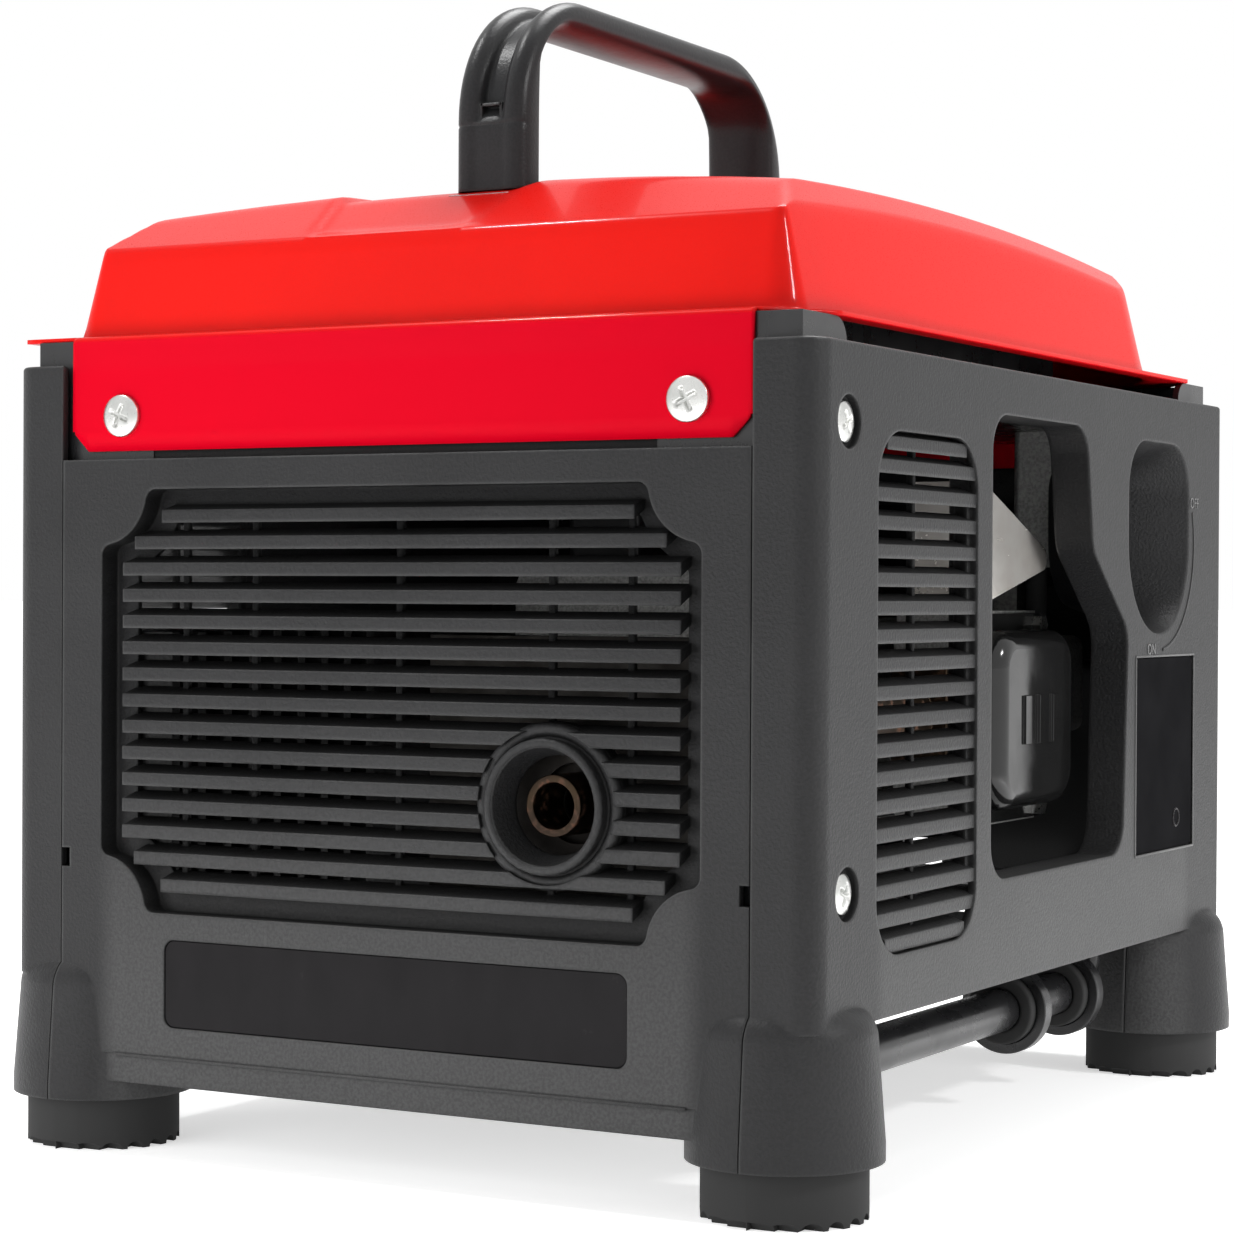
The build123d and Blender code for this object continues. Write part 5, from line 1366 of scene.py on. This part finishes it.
@dataclass
class StarterRope:
    """Rope from the recoil pulley to the grip."""

    start: Point = (-18.0, 140.0, 178.0)
    end: Point = (-138.6, 140.0, 178.0)
    radius: float = 2.0
    spokes: int = 12
    steps: int = 40

    def build(self) -> None:
        """Lay the rope from the recoil pulley to the grip."""
        shape = bmesh.new()
        rows = []
        for step in range(self.steps + 1):
            spot = Vector(self.start).lerp(Vector(self.end), step / self.steps)
            rows.append([shape.verts.new((spot + Vector((0.0, y, z)) * self.radius) * MM)
                         for y, z in Bench.spokes(self.spokes)])
        Bench.skin(shape, rows, True)
        rope = Bench.piece("starter_rope", shape, ROPE, None, "rubber")
        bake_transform(rope)


@dataclass(frozen=True)
class StudioLamp:
    """A round lamp that looks at the object."""

    name: str
    place: Point
    size: float
    power: float
    mirrored: bool

    def build(self, target: Vector) -> None:
        """Hang the lamp.

        Args:
            target: Point that it looks at, in millimetres.
        """
        lamp = bpy.data.lights.new(self.name, "AREA")
        lamp.shape = "DISK"
        lamp.size = self.size * MM
        lamp.energy = self.power
        holder = bpy.data.objects.new(self.name, lamp)
        holder.location = Vector(self.place) * MM
        holder.rotation_euler = (target - Vector(self.place)).to_track_quat("-Z", "Y").to_euler()
        holder.visible_glossy = self.mirrored
        bpy.context.scene.collection.objects.link(holder)


@dataclass
class Studio:
    """Floor, light and camera."""

    eye: Point = (546.18, -1024.82, 193.86)
    turn: float = 29.028
    dip: float = 0.448
    lean: float = 0.289
    focal_pixels: float = 3033.75
    picture_pixels: float = 1234.0
    sensor: float = 36.0
    clip: Span = (0.01, 100.0)
    white: Colour = (1.0, 1.0, 1.0)
    target: Point = (0.0, 0.0, 190.0)
    dim: float = 0.35
    floor_half: float = 40.0
    floor_colour: Colour = (0.88, 0.88, 0.88)
    glow_run: Span = (0.5, 3.0)
    glow_near: float = 0.58
    glow_gain: float = 0.4
    lamps: tuple[StudioLamp, ...] = (
        StudioLamp("key", (-750.0, -1250.0, 650.0), 700.0, 7.0, False),
        StudioLamp("side", (1450.0, -80.0, 1035.0), 170.0, 8.2, True),
        StudioLamp("top", (0.0, 580.0, 1600.0), 800.0, 22.5, True),
        StudioLamp("edge", (-705.0, -255.0, 1600.0), 120.0, 7.0, True),
        StudioLamp("front low", (-150.0, -620.0, 12.0), 420.0, 3.5, False),
        StudioLamp("side low", (600.0, 60.0, 12.0), 420.0, 4.0, False),
    )

    def build(self) -> None:
        """Set up the view, the light and the floor."""
        self.camera()
        self.light()
        self.floor()
        bpy.context.scene.view_settings.view_transform = "Standard"

    def camera(self) -> None:
        """Camera at the photograph's viewing angle."""
        turn, dip, lean = (math.radians(angle) for angle in (self.turn, self.dip, self.lean))
        ahead = Vector((-math.sin(turn) * math.cos(dip), math.cos(turn) * math.cos(dip), -math.sin(dip)))
        level = Vector((math.cos(turn), math.sin(turn), 0.0))
        upright = level.cross(ahead)
        right = level * math.cos(lean) + upright * math.sin(lean)
        above = upright * math.cos(lean) - level * math.sin(lean)
        lens = bpy.data.cameras.new("view")
        lens.sensor_width = self.sensor
        lens.lens = self.sensor * self.focal_pixels / self.picture_pixels
        lens.clip_start, lens.clip_end = self.clip
        camera = bpy.data.objects.new("view", lens)
        camera.matrix_world = Matrix((right, above, -ahead)).transposed().to_4x4()
        camera.location = Vector(self.eye) * MM
        bpy.context.scene.collection.objects.link(camera)
        bpy.context.scene.camera = camera

    @staticmethod
    def seen(graph: Graph) -> Wire:
        """1 on rays from the camera, off mirrors and through glass, and 0 on the others."""
        names = ("Is Camera Ray", "Is Glossy Ray", "Is Transmission Ray")
        camera, glossy, through = (graph.node("ShaderNodeLightPath", {}, {}, name) for name in names)
        return camera + glossy + through

    def light(self) -> None:
        """White surroundings for the eye, dim even light and lamps for the object."""
        world = bpy.data.worlds.new("studio")
        graph = Graph(world)
        white = (*self.white, 1.0)
        lit, shown = (graph.node("ShaderNodeBackground", {}, {"Color": white, "Strength": strength})
                      for strength in (self.dim, 1.0))
        graph.close(graph.node("ShaderNodeMixShader", {}, {0: self.seen(graph), 1: lit, 2: shown}))
        bpy.context.scene.world = world
        for lamp in self.lamps:
            lamp.build(Vector(self.target))

    def floor(self) -> None:
        """Wide white floor that keeps the shadow."""
        shape = bmesh.new()
        bmesh.ops.create_grid(shape, x_segments=1, y_segments=1, size=self.floor_half)
        mesh = bpy.data.meshes.new("floor")
        shape.to_mesh(mesh)
        shape.free()
        ground = bpy.data.objects.new("floor", mesh)
        bpy.context.scene.collection.objects.link(ground)
        graph = Graph(bpy.data.materials.new("floor white"))
        away = graph.node("ShaderNodeVectorMath", {"operation": "LENGTH"}, {0: graph.place()}, "Value")
        share = away.between(*self.glow_run) * self.glow_gain + self.glow_near
        glow = graph.mix(self.seen(graph) * share, (0.0, 0.0, 0.0), self.white)
        graph.surface(Base_Color=self.floor_colour, Roughness=1.0, Specular_IOR_Level=0.0,
                      Emission_Color=glow, Emission_Strength=1.0)
        mesh.materials.append(graph.owner)


# Node, finish, slot and radius of the eased edges, then segments and body where they differ from the usual.
SOLIDS = (
    ("exhaust_end_panel", PANEL, PANEL_SLOT, 1.0, 3),
    ("right_side_panel", PANEL, PANEL_SLOT, 1.0, 3),
    ("left_side_panel", PANEL, PANEL_SLOT, 0.7),
    ("control_end_panel", PANEL, PANEL_SLOT, 0.7),
    ("front_plate", FILM, "plate_film", 0.3),
    ("rating_plate", PLATE_FILM, "plate_film", 0.3),
    ("rubber_feet", RUBBER, "rubber", 0.8),
    ("corner_posts", BLACK_PAINT, "black_paint", 0.4),
    ("cross_plates", BLACK_PAINT, "black_paint", 0.4),
    ("frame_tubes", BLACK_PAINT, "black_paint", 0.2),
    ("mount_sleeves", RUBBER, "rubber", 1.0),
    ("engine_cradle", BLACK_PAINT, "black_paint", 0.5),
    ("handle_bracket", BLACK_PAINT, "black_paint", 0.4),
    ("handle_bolts", ZINC, "zinc_steel", 0.4),
    ("crankcase", ALLOY, "cast_aluminium", 0.8),
    ("crankcase_cover", ALLOY, "cast_aluminium", 0.8),
    ("oil_filler_plug", BLACK, "black_plastic", 0.6),
    ("crankshaft", BARE_STEEL, "sheet_steel", 0.4, 2, "rotor"),
    ("cylinder", ALLOY, "cast_aluminium", 0.4),
    ("cylinder_head", ALLOY, "cast_aluminium", 0.6),
    ("valve_cover", COVER_PAINT, "black_paint", 1.6, 4),
    ("valve_cover_bolts", ZINC, "zinc_steel", 0.4),
    ("spark_plug", ZINC, "zinc_steel", 0.4),
    ("spark_plug_cap", RUBBER, "rubber", 0.8),
    ("ignition_coil", BLACK, "black_plastic", 0.6),
    ("fan_flywheel", ALLOY, "cast_aluminium", 0.4, 2, "rotor"),
    ("stator", BARE_STEEL, "sheet_steel", 0.4),
    ("fan_shroud", BLACK, "black_plastic", 0.5),
    ("recoil_housing", BLACK, "black_plastic", 0.5),
    ("recoil_pulley", BLACK, "black_plastic", 0.4, 2, "recoil_pulley"),
    ("starter_grip", BLACK, "black_plastic", 0.5, 2, "starter_grip"),
    ("muffler", SOOTY_STEEL, "sheet_steel", 0.6),
    ("muffler_shield", SOOTY_STEEL, "sheet_steel", 0.3),
    ("tail_pipe", EXHAUST, "sheet_steel", 0.4),
    ("exhaust_pipe", EXHAUST, "sheet_steel", 0.4),
    ("head_guard", POLISHED, "polished_steel", 1.0, 3),
    ("carburettor", ALLOY, "cast_aluminium", 0.6),
    ("air_filter_box", BLACK, "black_plastic", 0.6),
    ("air_filter_cover", BLACK, "black_plastic", 0.4),
    ("air_filter_element", FOAM, "foam", 0.8),
    ("choke_control", BLACK, "black_plastic", 0.5, 2, "choke"),
    ("tank_tray", BLACK_PAINT, "black_paint", 0.3),
    ("fuel_tank", BLACK_PAINT, "black_paint", 0.4),
    ("fuel_cap", BLACK, "black_plastic", 0.5, 2, "fuel_cap"),
    ("fuel_tap", ALLOY, "cast_aluminium", 0.5),
    ("fuel_lever", BLACK, "black_plastic", 0.8, 2, "fuel_lever"),
    ("fuel_hose", RUBBER, "rubber", 0.3),
    ("inverter_module", DULL_ALLOY, "cast_aluminium", 0.5),
    ("ac_sockets", FASCIA_GREY, "black_plastic", 0.4),
    ("socket_lid_left", BLACK, "black_plastic", 0.5, 2, "socket_lid_left"),
    ("socket_lid_right", BLACK, "black_plastic", 0.5, 2, "socket_lid_right"),
    ("dc_socket", BLACK, "black_plastic", 0.4),
    ("engine_switch", BUTTON_RED, "black_plastic", 0.4, 2, "engine_switch"),
    ("eco_switch", BLACK, "black_plastic", 0.4, 2, "eco_switch"),
    ("breaker_button", BUTTON_RED, "red_plastic", 0.4, 2, "breaker_button"),
    ("indicator_lamps", BLACK, "lamp_plastic", 0.3),
    ("earth_terminal", ZINC, "zinc_steel", 0.4),
)


def main() -> None:
    """Build the studio and every piece in order."""
    logging.basicConfig(level=logging.INFO, format="%(name)s: %(message)s")
    Studio().build()
    for part in (Lid(), Handle(), Screws(), PanelLips(), Marks(), Lamps(), StarterRope(),
                 *(EasedSolid(*row) for row in SOLIDS)):
        part.build()


if __name__ == "__main__":
    main()
